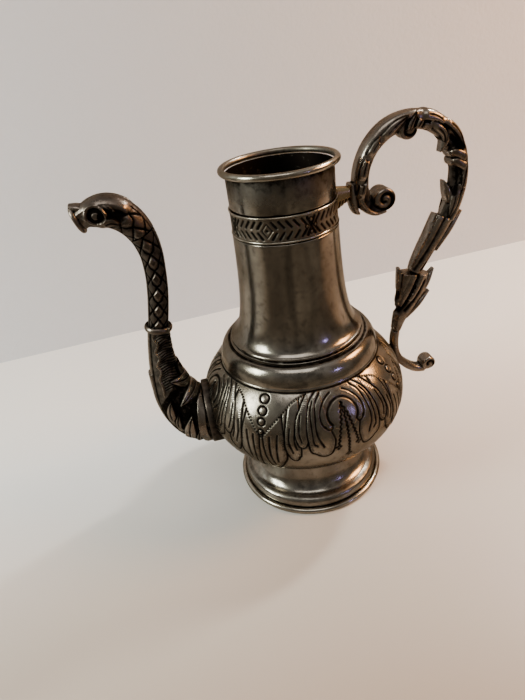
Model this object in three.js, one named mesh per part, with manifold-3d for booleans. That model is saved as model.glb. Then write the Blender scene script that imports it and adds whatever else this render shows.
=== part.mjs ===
// A silver-plated dallah coffee pot: a turned foot, a raised bowl, a shoulder collar and a tall neck,
// with a cast bird-headed spout on one side and a cast leaf-scroll handle on the other.
// Millimetres, +Z up. The origin is the centre of the foot on the table. The spout points along -X.
import * as THREE from "three";
import { mergeVertices } from "three/addons/utils/BufferGeometryUtils.js";
import Module from "manifold-3d";

const wasm = await Module();
wasm.setup();

// ---- Driving dimensions ----
const SOLDER_GAP = 0.3;
const SHEET_WALL = 1.2;
const TURNED_STEPS = 36;

const FOOT_WIRE_RADIUS = 2;
const FOOT_WIRE_FLAT = 0.3;
const FOOT_RADIUS = 45.3;
const FOOT_EDGE_RADIUS = 41;
const FOOT_EDGE_HEIGHT = 9.1;
const FOOT_SPIGOT_HEIGHT = 1.2;
const FOOT_WAIST_RADIUS = 31.5;

const BOWL_RADIUS = 61;
const BOWL_HALF_HEIGHT = 42.75;
const BOWL_CENTRE_HEIGHT = 67;
const BOWL_MOUTH_RADIUS = 37.2;

const COLLAR_EDGE_RADIUS = 46.3;
const COLLAR_SHOULDER_RADIUS = 39.3;
const COLLAR_HEIGHT = 11.3;

const NECK_LIP_RADIUS = 38;
const NECK_LIP_HEIGHT = 3.1;
const NECK_RADIUS = 27.1;
const NECK_TAPER = 0.6;
const NECK_LENGTH = 92;

const MOUTH_WIRE_RADIUS = 1.7;

const BAND_HEIGHT = 10.3;
const BAND_WALL = 0.6;
const BAND_SEAT_DEPTH = 0.5;
const BAND_WIRE_RADIUS = 0.55;
const BAND_BELOW_MOUTH = 23.3;

const SPOUT_JOINT_RADIUS = 18.4;
const SPOUT_BELOW_CENTRE = 4.3;
const SPOUT_TUBE_RADIUS = 5.8;
const SPOUT_WALL = 1.3;
const SPOUT_RISE = 63.8;
const SPOUT_MOUTH_RADIUS = 4.6;
const SPOUT_FLANGE_LIP = 1.2;
const SPOUT_FLANGE_REACH = 0.4;
const KNOP_RADIUS = 7.5;
const KNOP_HEIGHT = 3.4;
const STRAINER_HOLE_RADIUS = 2;
const STRAINER_PITCH = 7.5;
const STRAINER_HOLES = 6;

const STRAP_HALF_WIDTH = 5.6;
const STRAP_HALF_DEPTH = 4.7;
const STRAP_ABOVE_BAND = 5;
const BRACKET_REACH = 9.3;
const BRACKET_HALF_WIDTH = 4;
const BRACKET_NECK_HALF_HEIGHT = 6.8;
const BRACKET_STRAP_HALF_HEIGHT = 2.9;
const VOLUTE_RADIUS = 5.8;
const LOWER_STRAP_HALF_DEPTH = 2.4;
const LOWER_STRAP_HALF_WIDTH = 4;
const HANDLE_CONTACT_ABOVE_CENTRE = 9.5;
const SADDLE_BITE = 0.7;
const END_BALL_RADIUS = 4.8;
const LEAF_SOCKET_DEPTH = 4;

// ---- Sizes that follow from them ----
const SPOUT_AXIS_HEIGHT = BOWL_CENTRE_HEIGHT - SPOUT_BELOW_CENTRE;
const COLLAR_BASE = bowlHeightAt(COLLAR_EDGE_RADIUS) + SOLDER_GAP;
const COLLAR_TOP = COLLAR_BASE + COLLAR_HEIGHT;
const NECK_BASE = COLLAR_TOP + SOLDER_GAP;
const NECK_TOP = NECK_BASE + NECK_LENGTH;
const MOUTH_WIRE_CENTRE_RADIUS = NECK_RADIUS + (MOUTH_WIRE_RADIUS + SOLDER_GAP) * Math.SQRT1_2;
const MOUTH_WIRE_HEIGHT = NECK_TOP + (MOUTH_WIRE_RADIUS + SOLDER_GAP) * Math.SQRT1_2;
const BAND_MIDDLE = NECK_TOP - BAND_BELOW_MOUTH;
const BAND_TOP = BAND_MIDDLE + BAND_HEIGHT / 2;
const BAND_BASE = BAND_MIDDLE - BAND_HEIGHT / 2;
const BAND_SEAT_RADIUS = NECK_RADIUS - BAND_SEAT_DEPTH;
const BAND_INNER_RADIUS = BAND_SEAT_RADIUS + SOLDER_GAP;
const BAND_OUTER_RADIUS = BAND_INNER_RADIUS + BAND_WALL;
const BAND_WIRE_CENTRE_RADIUS = BAND_INNER_RADIUS + BAND_WIRE_RADIUS;
const BAND_WIRE_OFFSET = SOLDER_GAP + BAND_WIRE_RADIUS;
const BAND_SEAT_REACH = BAND_HEIGHT / 2 + 2 * BAND_WIRE_OFFSET;

// Radius of the bowl's outside at a height, and height of its upper or lower half at a radius.
function bowlRadiusAt(height) {
  return BOWL_RADIUS * Math.sqrt(1 - ((height - BOWL_CENTRE_HEIGHT) / BOWL_HALF_HEIGHT) ** 2);
}

function bowlHeightAt(radius, half = 1) {
  return BOWL_CENTRE_HEIGHT + half * BOWL_HALF_HEIGHT * Math.sqrt(1 - (radius / BOWL_RADIUS) ** 2);
}

// ---- Solids ----
// A geometry as a closed manifold solid whose faces point out.
function solid(geometry) {
  const bare = geometry.clone();
  bare.deleteAttribute("normal");
  bare.deleteAttribute("uv");
  const merged = mergeVertices(bare, 1e-4);
  const corners = merged.index.array;
  const triangles = [];
  for (let i = 0; i < corners.length; i += 3) {
    const [a, b, c] = corners.slice(i, i + 3);
    if (a !== b && b !== c && c !== a) triangles.push([a, b, c]);
  }
  const build = (list) =>
    new wasm.Manifold(
      new wasm.Mesh({
        numProp: 3,
        vertProperties: merged.attributes.position.array,
        triVerts: new Uint32Array(list.flat()),
      }),
    );
  const made = build(triangles);
  return made.volume() > 0 ? made : build(triangles.map(([a, b, c]) => [a, c, b]));
}

function geometryOf(manifold) {
  const mesh = manifold.getMesh();
  const geometry = new THREE.BufferGeometry();
  geometry.setAttribute("position", new THREE.BufferAttribute(mesh.vertProperties, 3));
  geometry.setIndex(new THREE.BufferAttribute(mesh.triVerts, 1));
  geometry.computeVertexNormals();
  return geometry;
}

const point = (radius, height) => new THREE.Vector2(radius, height);

// A profile of (radius, height) points turned round the pot's axis.
function turned(profile) {
  const lathe = new THREE.LatheGeometry(profile, TURNED_STEPS);
  lathe.rotateX(Math.PI / 2);
  return solid(lathe);
}

const ring = (profile) => turned([...profile, profile[0].clone()]);

// Points on an ellipse in the profile plane, between two angles measured from the radial direction.
function ellipse(centre, across, up, from, to, steps) {
  return Array.from({ length: steps + 1 }, (_, i) => {
    const angle = THREE.MathUtils.degToRad(from + ((to - from) * i) / steps);
    return point(centre.x + across * Math.cos(angle), centre.y + up * Math.sin(angle));
  });
}

function wireRing(radius, height, wireRadius, sides) {
  const section = ellipse(point(radius, height), wireRadius, wireRadius, 0, 360, sides);
  return ring(section.slice(0, -1));
}

function block(low, high) {
  const size = high.map((value, i) => value - low[i]);
  const box = new THREE.BoxGeometry(...size);
  box.translate(...low.map((value, i) => value + size[i] / 2));
  return solid(box);
}

function rod(from, to, radius, sides) {
  const length = from.distanceTo(to);
  const geometry = new THREE.CylinderGeometry(radius, radius, length, sides);
  const turn = new THREE.Quaternion().setFromUnitVectors(
    new THREE.Vector3(0, 1, 0),
    to.clone().sub(from).normalize(),
  );
  geometry.applyQuaternion(turn);
  geometry.translate(...from.clone().add(to).multiplyScalar(0.5));
  return solid(geometry);
}

// A centre line in the XZ plane through stations [x, z, half depth in the plane, half width across it].
const LENGTH_STEPS = 20;

function centreLine(stations) {
  const curve = new THREE.CatmullRomCurve3(stations.map(([x, z]) => new THREE.Vector3(x, 0, z)));
  curve.arcLengthDivisions = (stations.length - 1) * LENGTH_STEPS;
  const lengths = curve.getLengths();
  const total = lengths[lengths.length - 1];
  const lengthTo = (station) => lengths[station * LENGTH_STEPS];
  const at = (length) => {
    const t = curve.getUtoTmapping(0, Math.min(Math.max(length, 0), total));
    const station = Math.min(Math.floor(t * (stations.length - 1)), stations.length - 2);
    const share = t * (stations.length - 1) - station;
    const [, , depthA, widthA] = stations[station];
    const [, , depthB, widthB] = stations[station + 1];
    return {
      centre: curve.getPoint(t),
      along: curve.getTangent(t),
      halfDepth: THREE.MathUtils.lerp(depthA, depthB, share),
      halfWidth: THREE.MathUtils.lerp(widthA, widthB, share),
    };
  };
  return { total, lengthTo, at };
}

// A bar along a centre line between two lengths. squareness 1 is round; below 1 its section fills out.
function bar(line, from, to, { steps, sides, squareness = 1, grow = 0, swell = () => 0 }) {
  const geometry = new THREE.CylinderGeometry(1, 1, 1, sides, steps);
  const places = geometry.attributes.position;
  const fill = (value) => Math.sign(value) * Math.abs(value) ** squareness;
  for (let i = 0; i < places.count; i++) {
    const share = places.getY(i) + 0.5;
    const { centre, along, halfDepth, halfWidth } = line.at(from + (to - from) * share);
    const extra = grow + swell(share);
    const depth = fill(places.getX(i)) * (halfDepth + extra);
    const width = fill(places.getZ(i)) * (halfWidth + extra);
    places.setXYZ(i, centre.x - along.z * depth, width, centre.z + along.x * depth);
  }
  return solid(geometry);
}

const REACH = 400;
const leftHalf = block([-REACH, -REACH, -REACH], [REACH, -SOLDER_GAP / 2, REACH]);
const rightHalf = block([-REACH, SOLDER_GAP / 2, -REACH], [REACH, REACH, REACH]);

// ---- Body ----
function bowlBody(grow) {
  const centre = point(0, BOWL_CENTRE_HEIGHT);
  return turned(ellipse(centre, BOWL_RADIUS + grow, BOWL_HALF_HEIGHT + grow, -90, 90, 24));
}

// The foot stands on a half-round wire whose underside is filed flat.
function footEdgeWire() {
  const height = FOOT_WIRE_RADIUS - FOOT_WIRE_FLAT;
  const flatAngle = THREE.MathUtils.radToDeg(Math.asin(height / FOOT_WIRE_RADIUS));
  const centre = point(FOOT_RADIUS, height);
  return ring(ellipse(centre, FOOT_WIRE_RADIUS, FOOT_WIRE_RADIUS, -flatAngle, 180 + flatAngle, 7));
}

function footFlare() {
  const spigotRadius = FOOT_RADIUS - FOOT_WIRE_RADIUS - SOLDER_GAP;
  const seatHeight = 2 * FOOT_WIRE_RADIUS;
  const seatRadius = FOOT_RADIUS - FOOT_WIRE_RADIUS / 2;
  const skirtInset = FOOT_EDGE_RADIUS - SHEET_WALL;
  const flare = new THREE.QuadraticBezierCurve(
    point(FOOT_EDGE_RADIUS, FOOT_EDGE_HEIGHT),
    point(FOOT_WAIST_RADIUS + 1, FOOT_EDGE_HEIGHT + 3),
    point(FOOT_WAIST_RADIUS, bowlHeightAt(FOOT_WAIST_RADIUS, -1) - SOLDER_GAP),
  ).getPoints(6);
  const lining = flare.map((p) => point(p.x - SHEET_WALL, p.y - SHEET_WALL / 2));
  return ring([
    point(spigotRadius, FOOT_SPIGOT_HEIGHT),
    point(spigotRadius, seatHeight - 1),
    point(seatRadius, seatHeight),
    ...flare,
    ...lining.reverse(),
    point(skirtInset + SHEET_WALL, seatHeight + 1),
    point(spigotRadius - SHEET_WALL, seatHeight),
    point(spigotRadius - SHEET_WALL, FOOT_SPIGOT_HEIGHT),
  ]);
}

// The bowl closes at the bottom; its mouth is turned up as a short stub inside the collar. The wall
// behind the spout is pierced as a strainer.
function bowl() {
  const centre = point(0, BOWL_CENTRE_HEIGHT);
  const innerRadius = BOWL_RADIUS - SHEET_WALL;
  const innerHalfHeight = BOWL_HALF_HEIGHT - SHEET_WALL;
  const stubTop = COLLAR_TOP - SHEET_WALL - SOLDER_GAP;
  const stubBore = BOWL_MOUTH_RADIUS - SHEET_WALL;
  const outerEnd = THREE.MathUtils.radToDeg(Math.acos(BOWL_MOUTH_RADIUS / BOWL_RADIUS));
  const innerEnd = THREE.MathUtils.radToDeg(Math.acos(stubBore / innerRadius));
  const shell = turned([
    ...ellipse(centre, BOWL_RADIUS, BOWL_HALF_HEIGHT, -90, outerEnd, 15),
    point(BOWL_MOUTH_RADIUS, stubTop),
    point(stubBore, stubTop),
    ...ellipse(centre, innerRadius, innerHalfHeight, innerEnd, -90, 12),
  ]);
  const holes = [[0, 0]];
  for (let i = 0; i < STRAINER_HOLES; i++) {
    const angle = (i / STRAINER_HOLES) * 2 * Math.PI;
    holes.push([STRAINER_PITCH * Math.cos(angle), STRAINER_PITCH * Math.sin(angle)]);
  }
  return holes.reduce((made, [y, z]) => {
    const outside = new THREE.Vector3(-BOWL_RADIUS - 5, y, SPOUT_AXIS_HEIGHT + z);
    const inside = new THREE.Vector3(-BOWL_RADIUS + 12, y, SPOUT_AXIS_HEIGHT + z);
    return made.subtract(rod(outside, inside, STRAINER_HOLE_RADIUS, 10));
  }, shell);
}

function shoulderCollar() {
  const centre = point(COLLAR_SHOULDER_RADIUS, COLLAR_BASE);
  const across = COLLAR_EDGE_RADIUS - COLLAR_SHOULDER_RADIUS;
  const innerEdge = COLLAR_EDGE_RADIUS - SHEET_WALL;
  const innerBase = bowlHeightAt(innerEdge) + SOLDER_GAP;
  const innerCentre = point(COLLAR_SHOULDER_RADIUS, innerBase);
  const seatRadius = BOWL_MOUTH_RADIUS - SHEET_WALL;
  const outside = ellipse(centre, across, COLLAR_HEIGHT, 0, 90, 7);
  const innerUp = COLLAR_TOP - SHEET_WALL - innerBase;
  const inside = ellipse(innerCentre, innerEdge - COLLAR_SHOULDER_RADIUS, innerUp, 90, 0, 6);
  return ring([
    ...outside,
    point(seatRadius, COLLAR_TOP),
    point(seatRadius, COLLAR_TOP - SHEET_WALL),
    ...inside,
  ]);
}

// The neck flares out to a lip; below the lip a narrow cove stands on the collar. Near the mouth a
// shallow seat is rolled in for the ornament band and its wires.
function neck() {
  const lipHeight = NECK_BASE + NECK_LIP_HEIGHT;
  const seatBase = BAND_MIDDLE - BAND_SEAT_REACH;
  const seatTop = BAND_MIDDLE + BAND_SEAT_REACH;
  const flareHeight = seatBase - BAND_SEAT_DEPTH - lipHeight;
  const flareTopRadius = NECK_RADIUS + NECK_TAPER;
  const flare = new THREE.CubicBezierCurve(
    point(NECK_LIP_RADIUS, lipHeight),
    point(flareTopRadius + 0.34 * (NECK_LIP_RADIUS - flareTopRadius), lipHeight + 0.04 * flareHeight),
    point(flareTopRadius + 0.6, lipHeight + 0.34 * flareHeight),
    point(flareTopRadius, lipHeight + flareHeight),
  ).getPoints(9);
  const outside = [
    ...flare,
    point(BAND_SEAT_RADIUS, seatBase),
    point(BAND_SEAT_RADIUS, seatTop),
    point(NECK_RADIUS, seatTop + BAND_SEAT_DEPTH),
    point(NECK_RADIUS, NECK_TOP),
  ];
  const inside = outside.map((p, i) => {
    const drop = i < flare.length ? SHEET_WALL * (1 - i / flare.length) : 0;
    return point(p.x - SHEET_WALL, p.y - drop);
  });
  return ring([
    point(COLLAR_SHOULDER_RADIUS - SOLDER_GAP, NECK_BASE),
    point(NECK_LIP_RADIUS - SOLDER_GAP, NECK_BASE + NECK_LIP_HEIGHT / 2),
    ...outside,
    ...inside.reverse(),
    point(BOWL_MOUTH_RADIUS - SHEET_WALL, NECK_BASE),
  ]);
}

function ornamentBand() {
  return ring([
    point(BAND_INNER_RADIUS, BAND_BASE),
    point(BAND_OUTER_RADIUS, BAND_BASE),
    point(BAND_OUTER_RADIUS, BAND_TOP),
    point(BAND_INNER_RADIUS, BAND_TOP),
  ]);
}

// The neck with its band and wires as one plain solid, grown all round.
function neckEnvelope(grow) {
  const bandReach = BAND_WIRE_CENTRE_RADIUS + BAND_WIRE_RADIUS + grow;
  return turned([
    point(0, NECK_BASE),
    point(bandReach, NECK_BASE),
    point(bandReach, BAND_MIDDLE + BAND_SEAT_REACH + grow),
    point(NECK_RADIUS + grow, BAND_MIDDLE + BAND_SEAT_REACH + grow),
    point(NECK_RADIUS + grow, NECK_TOP),
    point(0, NECK_TOP),
  ]);
}

// ---- Spout ----
// Stations are placed from the joint with the bowl: distance outwards, height above the joint's axis,
// and the tube's outer radius.
const KNOP_STATION = 9;
const HEAD_STATION = 14;
const spoutStations = [
  [-6, -0.4, SPOUT_JOINT_RADIUS],
  [0, 0, SPOUT_JOINT_RADIUS],
  [6, 2.6, 17.4],
  [12, 9.4, 15],
  [16.2, 19, 12.4],
  [17.8, 30, 10],
  [18.2, 41, 8],
  [17.4, 51, 6.9],
  [16.2, 59, SPOUT_TUBE_RADIUS + 0.5],
  [15.4, SPOUT_RISE, SPOUT_TUBE_RADIUS],
  [12.8, SPOUT_RISE + 11, SPOUT_TUBE_RADIUS],
  [10.6, SPOUT_RISE + 22, SPOUT_TUBE_RADIUS],
  [9.4, SPOUT_RISE + 32, SPOUT_TUBE_RADIUS],
  [9.2, SPOUT_RISE + 42, SPOUT_TUBE_RADIUS + 0.4],
  [11.2, SPOUT_RISE + 52, SPOUT_TUBE_RADIUS + 1.2],
  [16, SPOUT_RISE + 60.6, SPOUT_TUBE_RADIUS + 2.1],
  [23, SPOUT_RISE + 65.4, SPOUT_TUBE_RADIUS + 2.3],
  [30.2, SPOUT_RISE + 65.8, SPOUT_TUBE_RADIUS + 1.4],
  [35.6, SPOUT_RISE + 64.6, SPOUT_TUBE_RADIUS - 0.6],
  [38, SPOUT_RISE + 63.4, SPOUT_MOUTH_RADIUS],
].map(([out, up, radius]) => [-BOWL_RADIUS - out, SPOUT_AXIS_HEIGHT + up, radius, radius]);
const spoutLine = centreLine(spoutStations);
const KNOP_LENGTH = spoutLine.lengthTo(KNOP_STATION);
const HEAD_LENGTH = spoutLine.lengthTo(HEAD_STATION);
const FLANGE_FACE = -BOWL_RADIUS - SPOUT_FLANGE_REACH;

function spoutBore(from, to, steps) {
  return bar(spoutLine, from, to, { steps, sides: 12, grow: -SPOUT_WALL });
}

// A plain ring fitted to the bowl's side, flat where the elbow is soldered on.
function spoutFlange() {
  const outerRadius = SPOUT_JOINT_RADIUS + SPOUT_FLANGE_LIP;
  const boreRadius = SPOUT_JOINT_RADIUS - SPOUT_WALL;
  const face = new THREE.Vector3(FLANGE_FACE, 0, SPOUT_AXIS_HEIGHT);
  const back = new THREE.Vector3(0, 0, SPOUT_AXIS_HEIGHT);
  const outside = rod(face, back, outerRadius, 32);
  const bore = rod(face.clone().setX(FLANGE_FACE - 1), back, boreRadius, 32);
  return outside.subtract(bore).subtract(bowlBody(SOLDER_GAP));
}

function spoutElbow() {
  const top = KNOP_LENGTH - KNOP_HEIGHT / 2 - SOLDER_GAP;
  const outside = bar(spoutLine, 0, top, { steps: 14, sides: 18 });
  const behindFace = block(
    [FLANGE_FACE - SOLDER_GAP, -REACH, -REACH],
    [REACH, REACH, REACH],
  );
  return outside.subtract(spoutBore(0, top + 2, 14)).subtract(behindFace);
}

function spoutKnopRing() {
  const from = KNOP_LENGTH - KNOP_HEIGHT / 2;
  const to = KNOP_LENGTH + KNOP_HEIGHT / 2;
  const proud = KNOP_RADIUS - SPOUT_TUBE_RADIUS;
  const swell = (share) => proud * Math.sin(Math.PI * (0.2 + 0.6 * share));
  const outside = bar(spoutLine, from, to, { steps: 4, sides: 20, swell });
  return outside.subtract(spoutBore(from - 2, to + 2, 3));
}

function spoutNeck() {
  const from = KNOP_LENGTH + KNOP_HEIGHT / 2 + SOLDER_GAP;
  const to = HEAD_LENGTH - SOLDER_GAP;
  const outside = bar(spoutLine, from, to, { steps: 12, sides: 14 });
  return outside.subtract(spoutBore(from - 2, to + 2, 12));
}

// A bird's head with an open beak: two lips stand out round the pouring mouth.
function spoutHead() {
  const [mouthX, mouthZ] = spoutStations[spoutStations.length - 1];
  const outside = bar(spoutLine, HEAD_LENGTH, spoutLine.total, { steps: 9, sides: 16 });
  const upperLip = centreLine([
    [mouthX + 5, mouthZ + 4, 2.6, 4.6],
    [mouthX, mouthZ + 4, 1.6, 3.6],
    [mouthX - 3, mouthZ + 5.5, 0.7, 1.6],
  ]);
  const lowerLip = centreLine([
    [mouthX + 6, mouthZ - 1.6, 2.6, 4.4],
    [mouthX + 2, mouthZ - 4.2, 1.6, 3.4],
    [mouthX, mouthZ - 8, 0.7, 1.4],
  ]);
  const lip = (line) => bar(line, 0, line.total, { steps: 4, sides: 10 });
  const bore = spoutBore(HEAD_LENGTH - 2, spoutLine.total, 9);
  const mouth = rod(
    new THREE.Vector3(mouthX + 4, 0, mouthZ + 0.6),
    new THREE.Vector3(mouthX - 6, 0, mouthZ - 1.4),
    SPOUT_MOUTH_RADIUS - SPOUT_WALL,
    12,
  );
  return outside.add(lip(upperLip)).add(lip(lowerLip)).subtract(bore).subtract(mouth);
}

// ---- Handle ----
// The upper scroll is placed from the strap's centre at the bracket, the lower scroll from the point
// where it is soldered to the bowl, and the leaf between them joins the two.
const STRAP_CENTRE_X = NECK_RADIUS + BRACKET_REACH + SOLDER_GAP + STRAP_HALF_DEPTH;
const STRAP_CENTRE_Z = BAND_MIDDLE + STRAP_ABOVE_BAND;
const upperStations = [
  [12.4, -12.4, 1.9],
  [7, -12, 3.2],
  [1.9, -7.4, STRAP_HALF_DEPTH - 0.7],
  [0, 0.3, STRAP_HALF_DEPTH - 0.5],
  [1, 9.8, STRAP_HALF_DEPTH - 0.5],
  [5.7, 19.3, STRAP_HALF_DEPTH - 0.3],
  [14, 26.3, STRAP_HALF_DEPTH],
  [24.6, 29, STRAP_HALF_DEPTH],
  [35.2, 27.3, STRAP_HALF_DEPTH],
  [44.9, 21.3, STRAP_HALF_DEPTH],
  [51.2, 12.3, STRAP_HALF_DEPTH],
  [53.7, 1.8, STRAP_HALF_DEPTH],
  [53.4, -8.7, STRAP_HALF_DEPTH],
  [51, -18, STRAP_HALF_DEPTH - 0.2],
  [48.2, -24.4, STRAP_HALF_DEPTH - 0.4],
].map(([x, z, depth]) => [STRAP_CENTRE_X + x, STRAP_CENTRE_Z + z, depth, STRAP_HALF_WIDTH]);
const upperLine = centreLine(upperStations);
const VOLUTE_CENTRE = new THREE.Vector3(STRAP_CENTRE_X + 11.5, 0, STRAP_CENTRE_Z - 6.9);

const CONTACT_Z = BOWL_CENTRE_HEIGHT + HANDLE_CONTACT_ABOVE_CENTRE;
const CONTACT_X = bowlRadiusAt(CONTACT_Z) + SOLDER_GAP + LOWER_STRAP_HALF_DEPTH - SADDLE_BITE;
const lowerStations = [
  [0.2, 13.9, LOWER_STRAP_HALF_DEPTH, LOWER_STRAP_HALF_WIDTH - 0.8],
  [-0.5, 6.8, LOWER_STRAP_HALF_DEPTH, LOWER_STRAP_HALF_WIDTH - 0.4],
  [0, 0, LOWER_STRAP_HALF_DEPTH, LOWER_STRAP_HALF_WIDTH],
  [2.8, -7, LOWER_STRAP_HALF_DEPTH, LOWER_STRAP_HALF_WIDTH],
  [7.8, -12.8, LOWER_STRAP_HALF_DEPTH, LOWER_STRAP_HALF_WIDTH],
  [14, -17, LOWER_STRAP_HALF_DEPTH, LOWER_STRAP_HALF_WIDTH],
  [19.6, -18.2, LOWER_STRAP_HALF_DEPTH, LOWER_STRAP_HALF_WIDTH],
].map(([x, z, depth, width]) => [CONTACT_X + x, CONTACT_Z + z, depth, width]);
const lowerLine = centreLine(lowerStations);
const END_BALL_CENTRE = new THREE.Vector3(CONTACT_X + 22.4, 0, CONTACT_Z - 17.4);

const CUP_RIM_STATION = 1;
const cupStations = [
  [12, 56, 9.5, STRAP_HALF_WIDTH],
  [10.8, 50.5, 9.5, STRAP_HALF_WIDTH],
  [9.2, 41.5, 9.1, STRAP_HALF_WIDTH],
  [6.4, 31.5, 6.5, STRAP_HALF_WIDTH - 0.6],
  [2.6, 22.5, 3.9, LOWER_STRAP_HALF_WIDTH],
  [0.4, 14.5, LOWER_STRAP_HALF_DEPTH + 0.2, LOWER_STRAP_HALF_WIDTH - 0.6],
].map(([x, z, depth, width]) => [CONTACT_X + x, CONTACT_Z + z, depth, width]);
const cupLine = centreLine(cupStations);
const CUP_RIM_LENGTH = cupLine.lengthTo(CUP_RIM_STATION);

function handleBracket() {
  const strapFace = STRAP_CENTRE_X - STRAP_HALF_DEPTH - SOLDER_GAP;
  const line = centreLine([
    [NECK_RADIUS - 2, STRAP_CENTRE_Z - 2.8, BRACKET_NECK_HALF_HEIGHT, BRACKET_HALF_WIDTH],
    [strapFace, STRAP_CENTRE_Z - 0.6, BRACKET_STRAP_HALF_HEIGHT, BRACKET_HALF_WIDTH - 1],
  ]);
  const lug = bar(line, 0, line.total, { steps: 2, sides: 12, squareness: 0.7 });
  return lug.subtract(neckEnvelope(SOLDER_GAP));
}

function handleUpperScroll() {
  const strap = bar(upperLine, 0, upperLine.total, { steps: 40, sides: 12, squareness: 0.75 });
  const half = new THREE.Vector3(0, STRAP_HALF_WIDTH, 0);
  const volute = rod(
    VOLUTE_CENTRE.clone().sub(half),
    VOLUTE_CENTRE.clone().add(half),
    VOLUTE_RADIUS,
    20,
  );
  return strap.add(volute);
}

function leafCupBody(grow) {
  const from = CUP_RIM_LENGTH - grow;
  return bar(cupLine, from, cupLine.total, { steps: 9, sides: 14, squareness: 0.8, grow });
}

// The leaf starts squarely on the end of the upper scroll and is cut off at the cup's rim.
function handleMiddleLeaf() {
  const top = upperLine.at(upperLine.total);
  const start = top.centre.clone().addScaledVector(top.along, SOLDER_GAP);
  const shoulder = top.centre.clone().addScaledVector(top.along, 4);
  const rim = cupLine.at(CUP_RIM_LENGTH).centre;
  const end = cupLine.at(CUP_RIM_LENGTH + LEAF_SOCKET_DEPTH).centre;
  const line = centreLine([
    [start.x, start.z, STRAP_HALF_DEPTH + 1.6, STRAP_HALF_WIDTH + 0.6],
    [shoulder.x, shoulder.z, STRAP_HALF_DEPTH + 0.8, STRAP_HALF_WIDTH + 0.2],
    [rim.x, rim.z, STRAP_HALF_DEPTH - 1, STRAP_HALF_WIDTH - 1],
    [end.x, end.z, STRAP_HALF_DEPTH - 1, STRAP_HALF_WIDTH - 1],
  ]);
  const leaf = bar(line, 0, line.total, { steps: 10, sides: 12, squareness: 0.8 });
  return leaf.subtract(leafCupBody(SOLDER_GAP));
}

function handleLeafCup() {
  return leafCupBody(0);
}

function handleLowerScroll() {
  const strap = bar(lowerLine, 0, lowerLine.total, { steps: 16, sides: 12, squareness: 0.8 });
  const ball = new THREE.SphereGeometry(END_BALL_RADIUS, 14, 10);
  ball.translate(...END_BALL_CENTRE);
  return strap.add(solid(ball)).subtract(bowlBody(SOLDER_GAP));
}

// ---- Assembly ----
const platedSheet = { color: 0x8f8981, roughness: 0.28, metalness: 1 };
const platedWire = { color: 0x9a948b, roughness: 0.3, metalness: 1 };
const castSilver = { color: 0x6e675e, roughness: 0.42, metalness: 1 };

const pot = new THREE.Group();

function place(name, shape, finish) {
  const mesh = new THREE.Mesh(geometryOf(shape), new THREE.MeshStandardMaterial(finish));
  mesh.name = name;
  pot.add(mesh);
}

function placeHalves(name, shape, finish) {
  place(name + "_left", shape.intersect(leftHalf), finish);
  place(name + "_right", shape.intersect(rightHalf), finish);
}

place("foot_edge_wire", footEdgeWire(), platedWire);
place("foot_flare", footFlare(), platedSheet);
place("bowl", bowl(), platedSheet);
place("shoulder_collar", shoulderCollar(), platedSheet);
place("neck", neck(), platedSheet);
place("ornament_band", ornamentBand(), castSilver);
place(
  "band_lower_wire",
  wireRing(BAND_WIRE_CENTRE_RADIUS, BAND_BASE - BAND_WIRE_OFFSET, BAND_WIRE_RADIUS, 5),
  platedWire,
);
place(
  "band_upper_wire",
  wireRing(BAND_WIRE_CENTRE_RADIUS, BAND_TOP + BAND_WIRE_OFFSET, BAND_WIRE_RADIUS, 5),
  platedWire,
);
place(
  "mouth_wire",
  wireRing(MOUTH_WIRE_CENTRE_RADIUS, MOUTH_WIRE_HEIGHT, MOUTH_WIRE_RADIUS, 8),
  platedWire,
);
place("spout_flange", spoutFlange(), castSilver);
placeHalves("spout_elbow", spoutElbow(), castSilver);
place("spout_knop_ring", spoutKnopRing(), castSilver);
placeHalves("spout_neck", spoutNeck(), castSilver);
placeHalves("spout_head", spoutHead(), castSilver);
place("handle_bracket", handleBracket(), castSilver);
place("handle_upper_scroll", handleUpperScroll(), castSilver);
place("handle_middle_leaf", handleMiddleLeaf(), castSilver);
place("handle_leaf_cup", handleLeafCup(), castSilver);
place("handle_lower_scroll", handleLowerScroll(), castSilver);

export default pot;
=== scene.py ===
"""A tarnished, silver-plated dallah coffee pot: chased bowl, polished neck, bird-headed spout and
leaf-scroll handle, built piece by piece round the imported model.
Metres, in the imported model's frame: +Z is up, the spout points along -X and the near side is -Y."""

import math

import bmesh
import bpy
import numpy as np
from mathutils import Matrix, Vector
from mathutils.kdtree import KDTree

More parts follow.
